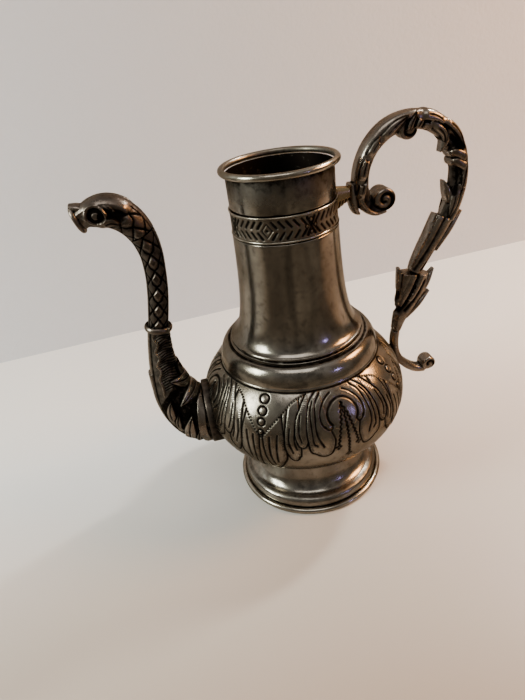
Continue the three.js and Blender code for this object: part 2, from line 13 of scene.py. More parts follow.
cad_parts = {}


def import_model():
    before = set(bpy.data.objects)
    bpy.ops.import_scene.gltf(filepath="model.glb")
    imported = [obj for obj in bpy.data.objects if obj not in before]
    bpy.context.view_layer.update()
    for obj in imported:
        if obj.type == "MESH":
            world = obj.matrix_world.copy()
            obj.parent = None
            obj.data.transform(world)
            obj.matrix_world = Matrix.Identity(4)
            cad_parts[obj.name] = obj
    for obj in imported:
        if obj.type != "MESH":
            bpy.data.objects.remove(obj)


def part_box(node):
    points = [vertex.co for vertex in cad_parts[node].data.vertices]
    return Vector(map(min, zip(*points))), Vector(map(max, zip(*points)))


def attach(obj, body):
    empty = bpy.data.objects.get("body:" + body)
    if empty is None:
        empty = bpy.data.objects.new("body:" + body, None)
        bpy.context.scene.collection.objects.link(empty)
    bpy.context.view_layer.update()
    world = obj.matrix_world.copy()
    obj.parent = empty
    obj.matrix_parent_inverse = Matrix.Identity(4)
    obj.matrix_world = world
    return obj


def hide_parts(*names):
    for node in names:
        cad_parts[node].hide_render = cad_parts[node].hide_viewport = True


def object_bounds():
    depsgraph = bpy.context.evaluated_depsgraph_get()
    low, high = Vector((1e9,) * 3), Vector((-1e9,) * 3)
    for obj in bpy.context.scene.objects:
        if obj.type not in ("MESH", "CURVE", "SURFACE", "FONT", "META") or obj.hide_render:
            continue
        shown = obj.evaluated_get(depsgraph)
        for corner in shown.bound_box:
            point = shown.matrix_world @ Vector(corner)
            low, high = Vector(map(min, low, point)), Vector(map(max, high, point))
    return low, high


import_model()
cad_low, cad_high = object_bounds()

MM = 0.001

# ---- Camera ----
CAMERA_PLACE = Vector((-0.05285, -0.2487, 0.2536))
CAMERA_AZIMUTH = math.radians(7.18)
CAMERA_TILT = math.radians(32.0)
CAMERA_ROLL = math.radians(8.67)
CAMERA_LENS = 25.714
SENSOR_LONG_SIDE = 36.0

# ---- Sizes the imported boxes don't give ----
SHEET_WALL = 0.0012
BOWL_HALF_HEIGHT = 0.04275
BOWL_MOUTH_RADIUS = 0.0372
COLLAR_SHOULDER_RADIUS = 0.0393
NECK_LIP_HEIGHT = 0.0031
NECK_RADIUS = 0.0271
NECK_TAPER = 0.0006
BAND_SEAT_DEPTH = 0.0005
FOOT_EDGE_RADIUS = 0.041
FOOT_EDGE_HEIGHT = 0.0091
FOOT_WAIST_RADIUS = 0.0315
SOLDER_GAP = 0.0003
SEAM = 0.00004

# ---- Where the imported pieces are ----
BOWL_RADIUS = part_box("bowl")[1].x
BOWL_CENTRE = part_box("bowl")[0].z + BOWL_HALF_HEIGHT
BOWL_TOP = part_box("bowl")[1].z
COLLAR_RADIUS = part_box("shoulder_collar")[1].x
COLLAR_BASE = BOWL_CENTRE + BOWL_HALF_HEIGHT * math.sqrt(1 - (COLLAR_RADIUS / BOWL_RADIUS) ** 2)
COLLAR_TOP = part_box("shoulder_collar")[1].z
NECK_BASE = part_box("neck")[0].z
NECK_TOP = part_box("neck")[1].z
NECK_LIP_RADIUS = 0.038
BAND_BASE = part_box("ornament_band")[0].z
BAND_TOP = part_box("ornament_band")[1].z
BAND_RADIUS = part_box("ornament_band")[1].x
FOOT_WIRE_LOW, FOOT_WIRE_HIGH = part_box("foot_edge_wire")
FOOT_LOW, FOOT_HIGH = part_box("foot_flare")


# ---- Curves ----
SHARP_BEND = math.radians(25)


def smooth_curve(points, steps):
    """A centripetal Catmull-Rom curve through points. The first two values set its shape; the others,
    such as a width, go along with them."""
    p = np.asarray(points, float)
    p = np.vstack([2 * p[0] - p[1], p, 2 * p[-1] - p[-2]])
    share = np.linspace(0, 1, steps, endpoint=False)[:, None]
    out = []
    for a, b, c, d in zip(p, p[1:], p[2:], p[3:]):
        before, here, after = (
            max(np.hypot(*(q - r)[:2]), 1e-9) ** 0.5 for q, r in ((b, a), (c, b), (d, c))
        )
        start = ((b - a) / before - (c - a) / (before + here) + (c - b) / here) * here
        end = ((c - b) / here - (d - b) / (here + after) + (d - c) / after) * here
        square, cube = share**2, share**3
        out.append(
            b * (2 * cube - 3 * square + 1)
            + start * (cube - 2 * square + share)
            + c * (3 * square - 2 * cube)
            + end * (cube - square)
        )
    return np.vstack([*out, p[-2][None]])


def evenly(points, count):
    """Points at even steps of length along a line given by many points."""
    steps = np.linalg.norm(np.diff(points[:, :2], axis=0), axis=1)
    length = np.concatenate([[0], np.cumsum(steps)])
    places = np.linspace(0, length[-1], count)
    return np.stack([np.interp(places, length, column) for column in points.T], 1)


def arc(centre, across, up, start, end, steps):
    """Part of an ellipse, from one angle in degrees to another."""
    angles = np.radians(np.linspace(start, end, steps))
    return np.stack([centre[0] + across * np.cos(angles), centre[1] + up * np.sin(angles)], 1)


def bezier(points, steps):
    """A Bezier curve of any degree, worked out by de Casteljau's steps."""
    share = np.linspace(0, 1, steps)[:, None]
    p = [np.asarray(q, float) for q in points]
    while len(p) > 1:
        p = [a * (1 - share) + b * share for a, b in zip(p, p[1:])]
    return p[0]


def rounded(outline, radius):
    """The closed outline with its sharp corners turned into short curves."""
    out = []
    count = len(outline)
    for i, here in enumerate(outline):
        before, after = outline[i - 1] - here, outline[(i + 1) % count] - here
        a, b = np.linalg.norm(before), np.linalg.norm(after)
        bend = math.acos(np.clip(-(before @ after) / (a * b), -1, 1))
        if bend < SHARP_BEND:
            out.append(here)
            continue
        cut = min(radius, a * 0.45, b * 0.45)
        out.extend(bezier([here + before / a * cut, here, here + after / b * cut], 5))
    return np.array(out)


def smoothstep(low, high, value):
    """0 at low, 1 at high and smooth between them; high may be the smaller of the two."""
    share = np.clip((value - low) / (high - low), 0, 1)
    return share * share * (3 - 2 * share)


# ---- Meshes ----
def skin(rows, ends=True, loop=False):
    """Points and faces over rows of points, each row a closed ring. ends closes the first and last ring
    with fans; loop joins the last ring to the first."""
    count, around, _ = rows.shape
    places = rows.reshape(-1, 3)
    index = np.arange(count * around).reshape(count, around)
    lower = index if loop else index[:-1]
    upper = np.roll(index, -1, 0) if loop else index[1:]
    faces = np.stack([lower, np.roll(lower, -1, 1), np.roll(upper, -1, 1), upper], -1).reshape(-1, 4)
    faces = faces.tolist()
    if ends and not loop:
        places = np.vstack([places, rows[0].mean(0), rows[-1].mean(0)])
        first, last = count * around, count * around + 1
        faces += [[first, b, a] for a, b in zip(index[0], np.roll(index[0], -1))]
        faces += [[last, a, b] for a, b in zip(index[-1], np.roll(index[-1], -1))]
    return places, faces


def turned_rows(outline, steps):
    """Rings of points: the outline turned round the pot's axis."""
    angles = np.linspace(0, 2 * math.pi, steps, endpoint=False)
    radius, height = outline[:, :1], outline[:, 1:]
    return np.stack([radius * np.cos(angles), radius * np.sin(angles), height + 0 * angles], -1)


def mesh_of(name, places, faces):
    """A mesh whose faces point outwards."""
    mesh = bpy.data.meshes.new(name)
    mesh.from_pydata(np.asarray(places).tolist(), [], faces)
    work = bmesh.new()
    work.from_mesh(mesh)
    if work.calc_volume(signed=True) < 0:
        bmesh.ops.reverse_faces(work, faces=work.faces)
    work.to_mesh(mesh)
    work.free()
    return mesh


def places_of(mesh):
    values = np.empty(len(mesh.vertices) * 3)
    mesh.vertices.foreach_get("co", values)
    return values.reshape(-1, 3)


def set_patina(mesh, values):
    """Stores how dark the tarnish is at each point: 0 for rubbed metal, 1 for a black hollow."""
    layer = mesh.attributes.get("patina") or mesh.attributes.new("patina", "FLOAT", "POINT")
    layer.data.foreach_set("value", np.clip(values, 0, 1).astype(np.float32).ravel())


def piece(mesh, nodes, material, sharp_angle=50):
    """Puts a finished mesh in the scene as the stand-in for its CAD nodes."""
    if "patina" not in mesh.attributes:
        set_patina(mesh, np.zeros(len(mesh.vertices)))
    mesh.polygons.foreach_set("use_smooth", [True] * len(mesh.polygons))
    mesh.set_sharp_from_angle(angle=math.radians(sharp_angle))
    mesh.materials.append(material)
    made = bpy.data.objects.new(mesh.name, mesh)
    bpy.context.scene.collection.objects.link(made)
    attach(made, "root")
    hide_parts(*nodes)
    return made


FINE_HOLLOW_ROUNDS, BROAD_HOLLOW_ROUNDS = 8, 30
HOLLOW_DEPTH = 0.16 * MM
THIN_TARNISH = 0.08


def neighbour_mean(values, edges, counts):
    """For each point, the mean of the values at the points it shares an edge with."""
    out = np.empty_like(values)
    for axis in range(values.shape[1]):
        column = values[:, axis]
        total = np.bincount(edges[:, 0], column[edges[:, 1]], len(values))
        total += np.bincount(edges[:, 1], column[edges[:, 0]], len(values))
        out[:, axis] = total / counts
    return out


def cast_mesh(name, parts, voxel, soften=2):
    """Closed shells fused into one body, softened a little, with tarnish gathered in the hollows. Each
    part is its points, its faces and its worked-in tarnish."""
    places, faces, worked = [], [], []
    for part_places, part_faces, part_dark in parts:
        shift = sum(len(p) for p in places)
        solid = mesh_of("part", part_places, part_faces)
        worked.append(part_dark + np.zeros(len(part_places)))
        places.append(places_of(solid))
        faces += [[corner + shift for corner in face.vertices] for face in solid.polygons]
        bpy.data.meshes.remove(solid)
    rough = bpy.data.meshes.new(name + "_rough")
    rough.from_pydata(np.vstack(places).tolist(), [], faces)
    holder = bpy.data.objects.new(rough.name, rough)
    bpy.context.scene.collection.objects.link(holder)
    remesh = holder.modifiers.new("fuse", "REMESH")
    remesh.mode = "VOXEL"
    remesh.voxel_size = voxel
    remesh.adaptivity = 0
    ready = bpy.context.evaluated_depsgraph_get()
    mesh = bpy.data.meshes.new_from_object(holder.evaluated_get(ready))
    mesh.name = name
    bpy.data.objects.remove(holder)
    bpy.data.meshes.remove(rough)
    edges = np.empty(len(mesh.edges) * 2, int)
    mesh.edges.foreach_get("vertices", edges)
    edges = edges.reshape(-1, 2)
    counts = np.bincount(edges.ravel(), minlength=len(mesh.vertices))
    where = places_of(mesh)
    for _ in range(soften):
        where = (where + neighbour_mean(where, edges, counts)) / 2
    mesh.vertices.foreach_set("co", where.ravel())
    mesh.update()
    normals = np.empty(len(mesh.vertices) * 3)
    mesh.vertices.foreach_get("normal", normals)
    normals = normals.reshape(-1, 3)
    hollow = np.zeros(len(where))
    spread = where
    for rounds in (FINE_HOLLOW_ROUNDS, BROAD_HOLLOW_ROUNDS):
        for _ in range(rounds):
            spread = neighbour_mean(spread, edges, counts)
        sunk = ((spread - where) * normals).sum(1)
        hollow = np.maximum(hollow, sunk / (HOLLOW_DEPTH * rounds / FINE_HOLLOW_ROUNDS))
    tree = KDTree(sum(len(p) for p in places))
    for i, place in enumerate(np.vstack(places)):
        tree.insert(place, i)
    tree.balance()
    nearest = [tree.find(place)[1] for place in where]
    set_patina(mesh, np.maximum(THIN_TARNISH + hollow, np.concatenate(worked)[nearest]))
    return mesh


def halves(mesh, names):
    """The mesh cut along the pot's middle plane into a left and a right part, each closed."""
    made = []
    for name, side in zip(names, (-1, 1)):
        work = bmesh.new()
        work.from_mesh(mesh)
        bmesh.ops.bisect_plane(
            work,
            geom=[*work.verts, *work.edges, *work.faces],
            dist=1e-7,
            plane_co=(0, side * SEAM, 0),
            plane_no=(0, -side, 0),
            clear_outer=True,
        )
        rim = [edge for edge in work.edges if edge.is_boundary]
        filled = bmesh.ops.holes_fill(work, edges=rim, sides=0)
        bmesh.ops.triangulate(work, faces=filled["faces"])
        half = bpy.data.meshes.new(name)
        work.to_mesh(half)
        work.free()
        made.append(half)
    return made


# ---- Relief ----
TARNISH_SPREAD = 0.45
HATCH_PITCH = 1.15 * MM
HATCH_FROM, HATCH_TO = 0.85 * MM, 1.95 * MM
LEAF_BLUNT = 0.4
LEAF_CROWN = 0.9


def round_top(share):
    """Height of a half circle at a share of its half width."""
    return np.sqrt(np.clip(1 - share**2, 0, 1))


def mm_line(points, steps=8):
    return smooth_curve(np.array(points) * MM, steps)


class Relief:
    """Height and tarnish worked into a grid of points. across times scale, and along, are metres."""

    def __init__(self, across, along, scale):
        self.across, self.along, self.scale = np.broadcast_arrays(across, along, scale)
        self.height = np.zeros(self.across.shape)
        self.dark = np.zeros(self.across.shape)

    def near(self, line, reach):
        """The points within reach of a line: their indices, their distance from it, and their place along
        it as a share and in metres."""
        line = np.asarray(line, float)
        widest = reach / max(self.scale.min(), 1e-6)
        low, high = line.min(0), line.max(0)
        close = np.nonzero(
            (self.across > low[0] - widest)
            & (self.across < high[0] + widest)
            & (self.along > low[1] - reach)
            & (self.along < high[1] + reach)
        )
        across, along, scale = self.across[close], self.along[close], self.scale[close]
        best = np.full(across.shape, 1e9)
        share = np.zeros(across.shape)
        length = np.zeros(across.shape)
        travelled = 0.0
        typical = scale.mean() if len(scale) else 1.0
        for i, (a, b) in enumerate(zip(line, line[1:])):
            step = np.stack([(b[0] - a[0]) * scale, np.full(scale.shape, b[1] - a[1])])
            gap = np.stack([(across - a[0]) * scale, along - a[1]])
            part = np.clip((gap * step).sum(0) / np.maximum((step * step).sum(0), 1e-14), 0, 1)
            off = np.hypot(*(gap - part * step))
            span = math.hypot((b[0] - a[0]) * typical, b[1] - a[1])
            closer = off < best
            best[closer] = off[closer]
            share[closer] = ((i + part) / (len(line) - 1))[closer]
            length[closer] = (travelled + part * span)[closer]
            travelled += span
        inside = best < reach
        close = tuple(c[inside] for c in close)
        return close, best[inside], share[inside], length[inside]

    def inside(self, outline):
        """Which points lie inside a closed outline."""
        within = np.zeros(self.across.shape, bool)
        for a, b in zip(outline, np.roll(outline, -1, 0)):
            crosses = (a[1] > self.along) != (b[1] > self.along)
            rise = b[1] - a[1] or 1.0
            level = a[0] + (b[0] - a[0]) * (self.along - a[1]) / rise
            within ^= crosses & (self.across < level)
        return within

    def petal(self, outline, lift, line_width, depth):
        """A flat petal over whatever is there, with a cut edge line and short hatch marks inside it."""
        covered = self.inside(outline)
        self.height[covered] = lift
        self.dark[covered] = 0
        close, off, share, length = self.near(outline, 2.6 * MM)
        within = covered[close]
        swell = lift * smoothstep(0, 1.5 * MM, off)
        self.height[close] = np.where(within, swell, self.height[close])
        marks = np.abs((length / HATCH_PITCH) % 1 - 0.5) < 0.2
        band = within & marks & (off > HATCH_FROM) & (off < HATCH_TO) & (share > 0.06) & (share < 0.94)
        self.cut(close, 1.0 * band, 0.13 * MM, 0.6)
        self.groove(outline, line_width, depth)

    def cut(self, close, amount, depth, dark=1.0):
        self.height[close] -= depth * amount
        self.dark[close] = np.maximum(self.dark[close], dark * amount**TARNISH_SPREAD)

    def groove(self, line, width, depth, dark=1.0):
        close, off, _, _ = self.near(line, 1.5 * width)
        self.cut(close, np.exp(-((off / (0.5 * width)) ** 2)), depth, dark)

    def ridge(self, line, width, lift):
        close, off, share, _ = self.near(line, width)
        rise = round_top(off / width) * lift * smoothstep(0, 0.08, 1 - share)
        self.height[close] = np.maximum(self.height[close], rise)
        self.dark[close] *= 1 - 0.9 * (rise > 0.2 * lift)

    def dots(self, line, pitch, radius, depth, dark=1.0):
        close, off, _, length = self.near(line, 2 * radius)
        to_dot = np.abs((length + pitch / 2) % pitch - pitch / 2)
        self.cut(close, np.exp(-((np.hypot(off, to_dot) / radius) ** 2)), depth, dark)

    def pit(self, centre, reach, radius, depth):
        close, off, _, _ = self.near([centre, centre], reach)
        self.cut(close, np.exp(-((off / radius) ** 2)), depth)

    def boss(self, centre, radius, lift, ring_width, ring_depth):
        close, off, _, _ = self.near([centre, centre], radius + 2 * ring_width)
        self.height[close] = np.maximum(self.height[close], lift * round_top(off / radius))
        self.dark[close] *= off > radius
        self.cut(close, np.exp(-(((off - radius) / (0.5 * ring_width)) ** 2)), ring_depth)

    def leaf(self, points, half_width, lift, crease=0.35):
        """A raised, pointed leaf along a line from its root to its tip, over whatever is there, with a cut
        edge line and a fold down its middle. All in mm."""
        close, off, share, _ = self.near(mm_line(points), (half_width + 0.8) * MM)
        taper = np.clip((share - LEAF_BLUNT) / (1 - LEAF_BLUNT), 0, 1) ** 1.7
        width = half_width * MM * np.clip(1 - taper, 0.02, 1)
        inside = off < width
        dome = round_top(off / width) ** LEAF_CROWN
        rise = lift * MM * dome * smoothstep(0, 0.2, share)
        self.height[close] = np.where(inside, rise, self.height[close])
        self.dark[close] = np.where(inside, 0, self.dark[close])
        edge = np.exp(-(((off - width) / (0.32 * MM)) ** 2)) * smoothstep(0.0, 0.04, share)
        self.cut(close, edge, 0.35 * MM)
        fold = np.exp(-((off / (0.3 * MM)) ** 2)) * smoothstep(0.15, 0.3, share)
        self.cut(close, fold * (share < 0.9), crease * MM)


# ---- Materials ----
EDGE_TINT = (0.6, 0.56, 0.5, 1)
CLOUD_SCALE, SPECK_SCALE, GRAIN_SCALE, PIT_SCALE = 38.0, 260.0, 1400.0, 620.0
STREAK_STRETCH = (25.0, 25.0, 1600.0)
HOLLOW_DULLNESS = 0.35


def link(tree, start, end):
    tree.links.new(start, end)


def value_node(tree, kind, **inputs):
    """A new node with its named inputs set."""
    node = tree.nodes.new(kind)
    for name, value in inputs.items():
        node.inputs[name.replace("_", " ")].default_value = value
    return node


def noise(tree, place, scale, detail, stretch=(1, 1, 1)):
    """A noise pattern in object space. stretch scales it along X, Y and Z."""
    mapping = tree.nodes.new("ShaderNodeMapping")
    mapping.inputs["Scale"].default_value = stretch
    link(tree, place, mapping.inputs["Vector"])
    node = value_node(tree, "ShaderNodeTexNoise", Scale=scale, Detail=detail, Roughness=0.6)
    link(tree, mapping.outputs["Vector"], node.inputs["Vector"])
    return node.outputs["Fac"]


def ramp(tree, factor, stops):
    """A colour ramp: stops are (place, colour)."""
    node = tree.nodes.new("ShaderNodeValToRGB")
    while len(node.color_ramp.elements) < len(stops):
        node.color_ramp.elements.new(1.0)
    for element, (place, colour) in zip(node.color_ramp.elements, stops):
        element.position = place
        element.color = (*colour, 1)
    link(tree, factor, node.inputs["Fac"])
    return node.outputs["Color"]


def mix_colour(tree, factor, a, b, blend="MIX"):
    node = tree.nodes.new("ShaderNodeMix")
    node.data_type = "RGBA"
    node.blend_type = blend
    for socket, value in ((node.inputs[0], factor), (node.inputs[6], a), (node.inputs[7], b)):
        if isinstance(value, (tuple, float)):
            socket.default_value = value
        else:
            link(tree, value, socket)
    return node.outputs[2]


def maths(tree, operation, a, b=0.0, clamp=False):
    node = tree.nodes.new("ShaderNodeMath")
    node.operation = operation
    node.use_clamp = clamp
    for socket, value in zip(node.inputs, (a, b)):
        if isinstance(value, float):
            socket.default_value = value
        else:
            link(tree, value, socket)
    return node.outputs["Value"]


def map_range(tree, value, low, high, to_low, to_high):
    node = value_node(tree, "ShaderNodeMapRange")
    for name, number in zip(("From Min", "From Max", "To Min", "To Max"), (low, high, to_low, to_high)):
        node.inputs[name].default_value = number
    link(tree, value, node.inputs["Value"])
    return node.outputs["Result"]


def tarnished_silver(name, bright, dull, recess, roughness, spread, grain, streaks, pits):
    """Old silver plate: bright where rubbed, browner in clouds, near black in the patina's hollows.
    roughness runs over spread; grain is the fine noise's bump; streaks are turning marks."""
    material = bpy.data.materials.new(name)
    material.use_nodes = True
    tree = material.node_tree
    shader = tree.nodes["Principled BSDF"]
    shader.inputs["Metallic"].default_value = 1.0
    shader.inputs["Specular Tint"].default_value = EDGE_TINT
    place = tree.nodes.new("ShaderNodeTexCoord").outputs["Object"]
    clouds = noise(tree, place, CLOUD_SCALE, 6.0)
    specks = noise(tree, place, SPECK_SCALE, 5.0)
    fine = noise(tree, place, GRAIN_SCALE, 3.0)
    body = mix_colour(tree, map_range(tree, clouds, 0.36, 0.66, 0.0, 1.0), (*bright, 1), (*dull, 1))
    stained = mix_colour(tree, map_range(tree, specks, 0.52, 0.72, 0.0, 0.55), body, (*dull, 1), "MULTIPLY")
    patina = tree.nodes.new("ShaderNodeAttribute")
    patina.attribute_name = "patina"
    uneven = maths(tree, "MULTIPLY", patina.outputs["Fac"], map_range(tree, specks, 0.3, 0.7, 0.75, 1.3))
    depth = map_range(tree, uneven, 0.08, 0.8, 0.0, 1.0)
    colour = mix_colour(tree, depth, stained, (*recess, 1))
    link(tree, colour, shader.inputs["Base Color"])
    shine = map_range(tree, specks, 0.3, 0.7, roughness - spread, roughness + spread)
    smudges = map_range(tree, clouds, 0.3, 0.7, -spread, spread)
    shine = maths(tree, "ADD", shine, smudges)
    shine = maths(tree, "ADD", shine, maths(tree, "MULTIPLY", depth, HOLLOW_DULLNESS), clamp=True)
    link(tree, shine, shader.inputs["Roughness"])
    height = maths(tree, "MULTIPLY", fine, grain)
    if streaks:
        lines = noise(tree, place, 1.0, 3.0, STREAK_STRETCH)
        height = maths(tree, "ADD", height, maths(tree, "MULTIPLY", lines, streaks))
    if pits:
        cells = value_node(tree, "ShaderNodeTexVoronoi", Scale=PIT_SCALE)
        link(tree, place, cells.inputs["Vector"])
        dimple = map_range(tree, cells.outputs["Distance"], 0.0, 0.45, 0.0, 1.0)
        height = maths(tree, "ADD", height, maths(tree, "MULTIPLY", dimple, pits))
    bump = value_node(tree, "ShaderNodeBump", Strength=1.0, Distance=0.001)
    link(tree, height, bump.inputs["Height"])
    link(tree, bump.outputs["Normal"], shader.inputs["Normal"])
    return material


# Each: rubbed colour, dull colour, colour in the hollows, roughness, its spread, grain, streaks, pits.
POLISHED = tarnished_silver(
    "polished_plate",
    *((0.32, 0.29, 0.245), (0.165, 0.143, 0.113), (0.007, 0.005, 0.004)),
    *(0.19, 0.035, 0.012, 0.01, 0.0),
)
CHASED = tarnished_silver(
    "chased_plate",
    *((0.305, 0.275, 0.228), (0.145, 0.12, 0.092), (0.006, 0.005, 0.004)),
    *(0.24, 0.04, 0.02, 0.0, 0.012),
)
BAND = tarnished_silver(
    "band_plate",
    *((0.3, 0.265, 0.215), (0.15, 0.12, 0.09), (0.006, 0.005, 0.004)),
    *(0.27, 0.05, 0.02, 0.0, 0.0),
)
WIRE = tarnished_silver(
    "wire_plate",
    *((0.42, 0.385, 0.32), (0.22, 0.19, 0.145), (0.02, 0.014, 0.01)),
    *(0.2, 0.04, 0.015, 0.0, 0.0),
)
CAST = tarnished_silver(
    "cast_plate",
    *((0.2, 0.165, 0.137), (0.085, 0.066, 0.052), (0.004, 0.003, 0.0025)),
    *(0.3, 0.06, 0.05, 0.0, 0.04),
)
CAST_SMOOTH = tarnished_silver(
    "cast_plate_worn",
    *((0.31, 0.27, 0.228), (0.14, 0.112, 0.088), (0.005, 0.004, 0.003)),
    *(0.26, 0.05, 0.035, 0.0, 0.02),
)
CAST_WARM = tarnished_silver(
    "cast_plate_gilt",
    *((0.42, 0.31, 0.17), (0.25, 0.17, 0.09), (0.02, 0.012, 0.006)),
    *(0.26, 0.05, 0.03, 0.0, 0.0),
)


# ---- Foot ----
TURNED_STEPS = 224
FOOT_WIRE_RADIUS = (FOOT_WIRE_HIGH.z - FOOT_WIRE_LOW.z) * 0.54


def foot_edge_wire():
    """A round wire filed flat underneath, where the pot stands on it."""
    radius = FOOT_WIRE_RADIUS
    centre_height = FOOT_WIRE_HIGH.z - radius
    centre = (FOOT_WIRE_HIGH.x - radius, centre_height)
    flat = math.degrees(math.asin(min(centre_height / radius, 1)))
    outline = arc(centre, radius, radius, -flat, 180 + flat, 26)
    places, faces = skin(turned_rows(rounded(outline, 0.2 * MM), TURNED_STEPS), loop=True)
    mesh = mesh_of("foot_edge_wire_rolled", places, faces)
    inner = np.hypot(places[:, 0], places[:, 1]) < centre[0] - 0.4 * radius
    set_patina(mesh, 0.75 * inner)
    piece(mesh, ["foot_edge_wire"], WIRE)


def foot_flare():
    """The spun foot: a spigot inside the wire, a step over it, then a flare up to the waist."""
    spigot = -FOOT_WIRE_LOW.x - 2 * FOOT_WIRE_RADIUS - SOLDER_GAP
    low, high = FOOT_LOW.z, FOOT_HIGH.z
    seat = FOOT_HIGH.x
    wire_top = FOOT_WIRE_HIGH.z + 0.3 * MM
    step = arc((FOOT_EDGE_RADIUS, wire_top), seat - FOOT_EDGE_RADIUS, FOOT_EDGE_HEIGHT - wire_top, 8, 66, 9)
    flare = bezier(
        [
            (FOOT_EDGE_RADIUS + 0.4 * MM, FOOT_EDGE_HEIGHT + 0.1 * MM),
            (FOOT_WAIST_RADIUS + 0.6 * MM, FOOT_EDGE_HEIGHT + 2.2 * MM),
            (FOOT_WAIST_RADIUS, high),
        ],
        40,
    )
    outside = np.vstack([[(spigot, low), (spigot, wire_top - 0.6 * MM), (seat, wire_top)], step, flare])
    lining = flare - (SHEET_WALL, SHEET_WALL / 2)
    bore = spigot - SHEET_WALL
    inside = [(FOOT_EDGE_RADIUS, wire_top + 1 * MM), (bore, wire_top), (bore, low)]
    outline = rounded(np.vstack([outside, lining[::-1], inside]), 0.35 * MM)
    rows = turned_rows(outline, TURNED_STEPS)
    places, faces = skin(rows, loop=True)
    mesh = mesh_of("foot_flare_spun", places, faces)
    radius = np.hypot(places[:, 0], places[:, 1])
    groove = np.exp(-(((places[:, 2] - FOOT_EDGE_HEIGHT) / (0.8 * MM)) ** 2))
    groove *= radius > FOOT_EDGE_RADIUS - 1 * MM
    under_wire = smoothstep(wire_top + 0.9 * MM, wire_top, places[:, 2])
    joint = smoothstep(high - 1.2 * MM, high, places[:, 2])
    set_patina(mesh, np.maximum.reduce([0.45 * groove, under_wire, 0.8 * joint]))
    piece(mesh, ["foot_flare"], POLISHED)


# ---- Bowl ----
BOWL_COLUMNS = 960
PLAIN_ROWS, CHASED_ROWS, MOUTH_ROWS = 20, 190, 8
CURVE_STEPS = 4000
CHASED_FLOOR = 0.0425
MOTIF_DEGREES = 90.0
FIELD_CENTRE_DEGREES = -126.4
MEDALLION = (MOTIF_DEGREES / 2, 83.6)
FIELD_BOSSES = ((92.0, 2.6), (87.1, 2.4), (82.1, 2.1), (77.0, 1.6))
STEM_TOP = 88.4
STEM_WAVE = 2.3
DENT_DEPTH = 0.05 * MM
LINE = 0.85 * MM
CUT = 0.38 * MM


def bowl_rows():
    """Places up the bowl's outside, from the bottom to its mouth: radius, height, length along the
    curve, and the two parts of the normal."""
    mouth = math.acos(BOWL_MOUTH_RADIUS / BOWL_RADIUS)
    angles = np.linspace(-math.pi / 2, mouth, CURVE_STEPS)
    radius, height = BOWL_RADIUS * np.cos(angles), BOWL_CENTRE + BOWL_HALF_HEIGHT * np.sin(angles)
    length = np.concatenate([[0], np.cumsum(np.hypot(np.diff(radius), np.diff(height)))])
    start, end = np.interp([CHASED_FLOOR, COLLAR_BASE], height, length)
    wanted = np.concatenate(
        [
            np.linspace(0.2 * MM, start, PLAIN_ROWS, endpoint=False),
            np.linspace(start, end, CHASED_ROWS, endpoint=False),
            np.linspace(end, length[-1], MOUTH_ROWS),
        ]
    )
    angle = np.interp(wanted, length, angles)
    across, up = np.cos(angle) / BOWL_RADIUS, np.sin(angle) / BOWL_HALF_HEIGHT
    steep = np.hypot(across, up)
    return (
        BOWL_RADIUS * np.cos(angle),
        BOWL_CENTRE + BOWL_HALF_HEIGHT * np.sin(angle),
        wanted,
        across / steep,
        up / steep,
    )


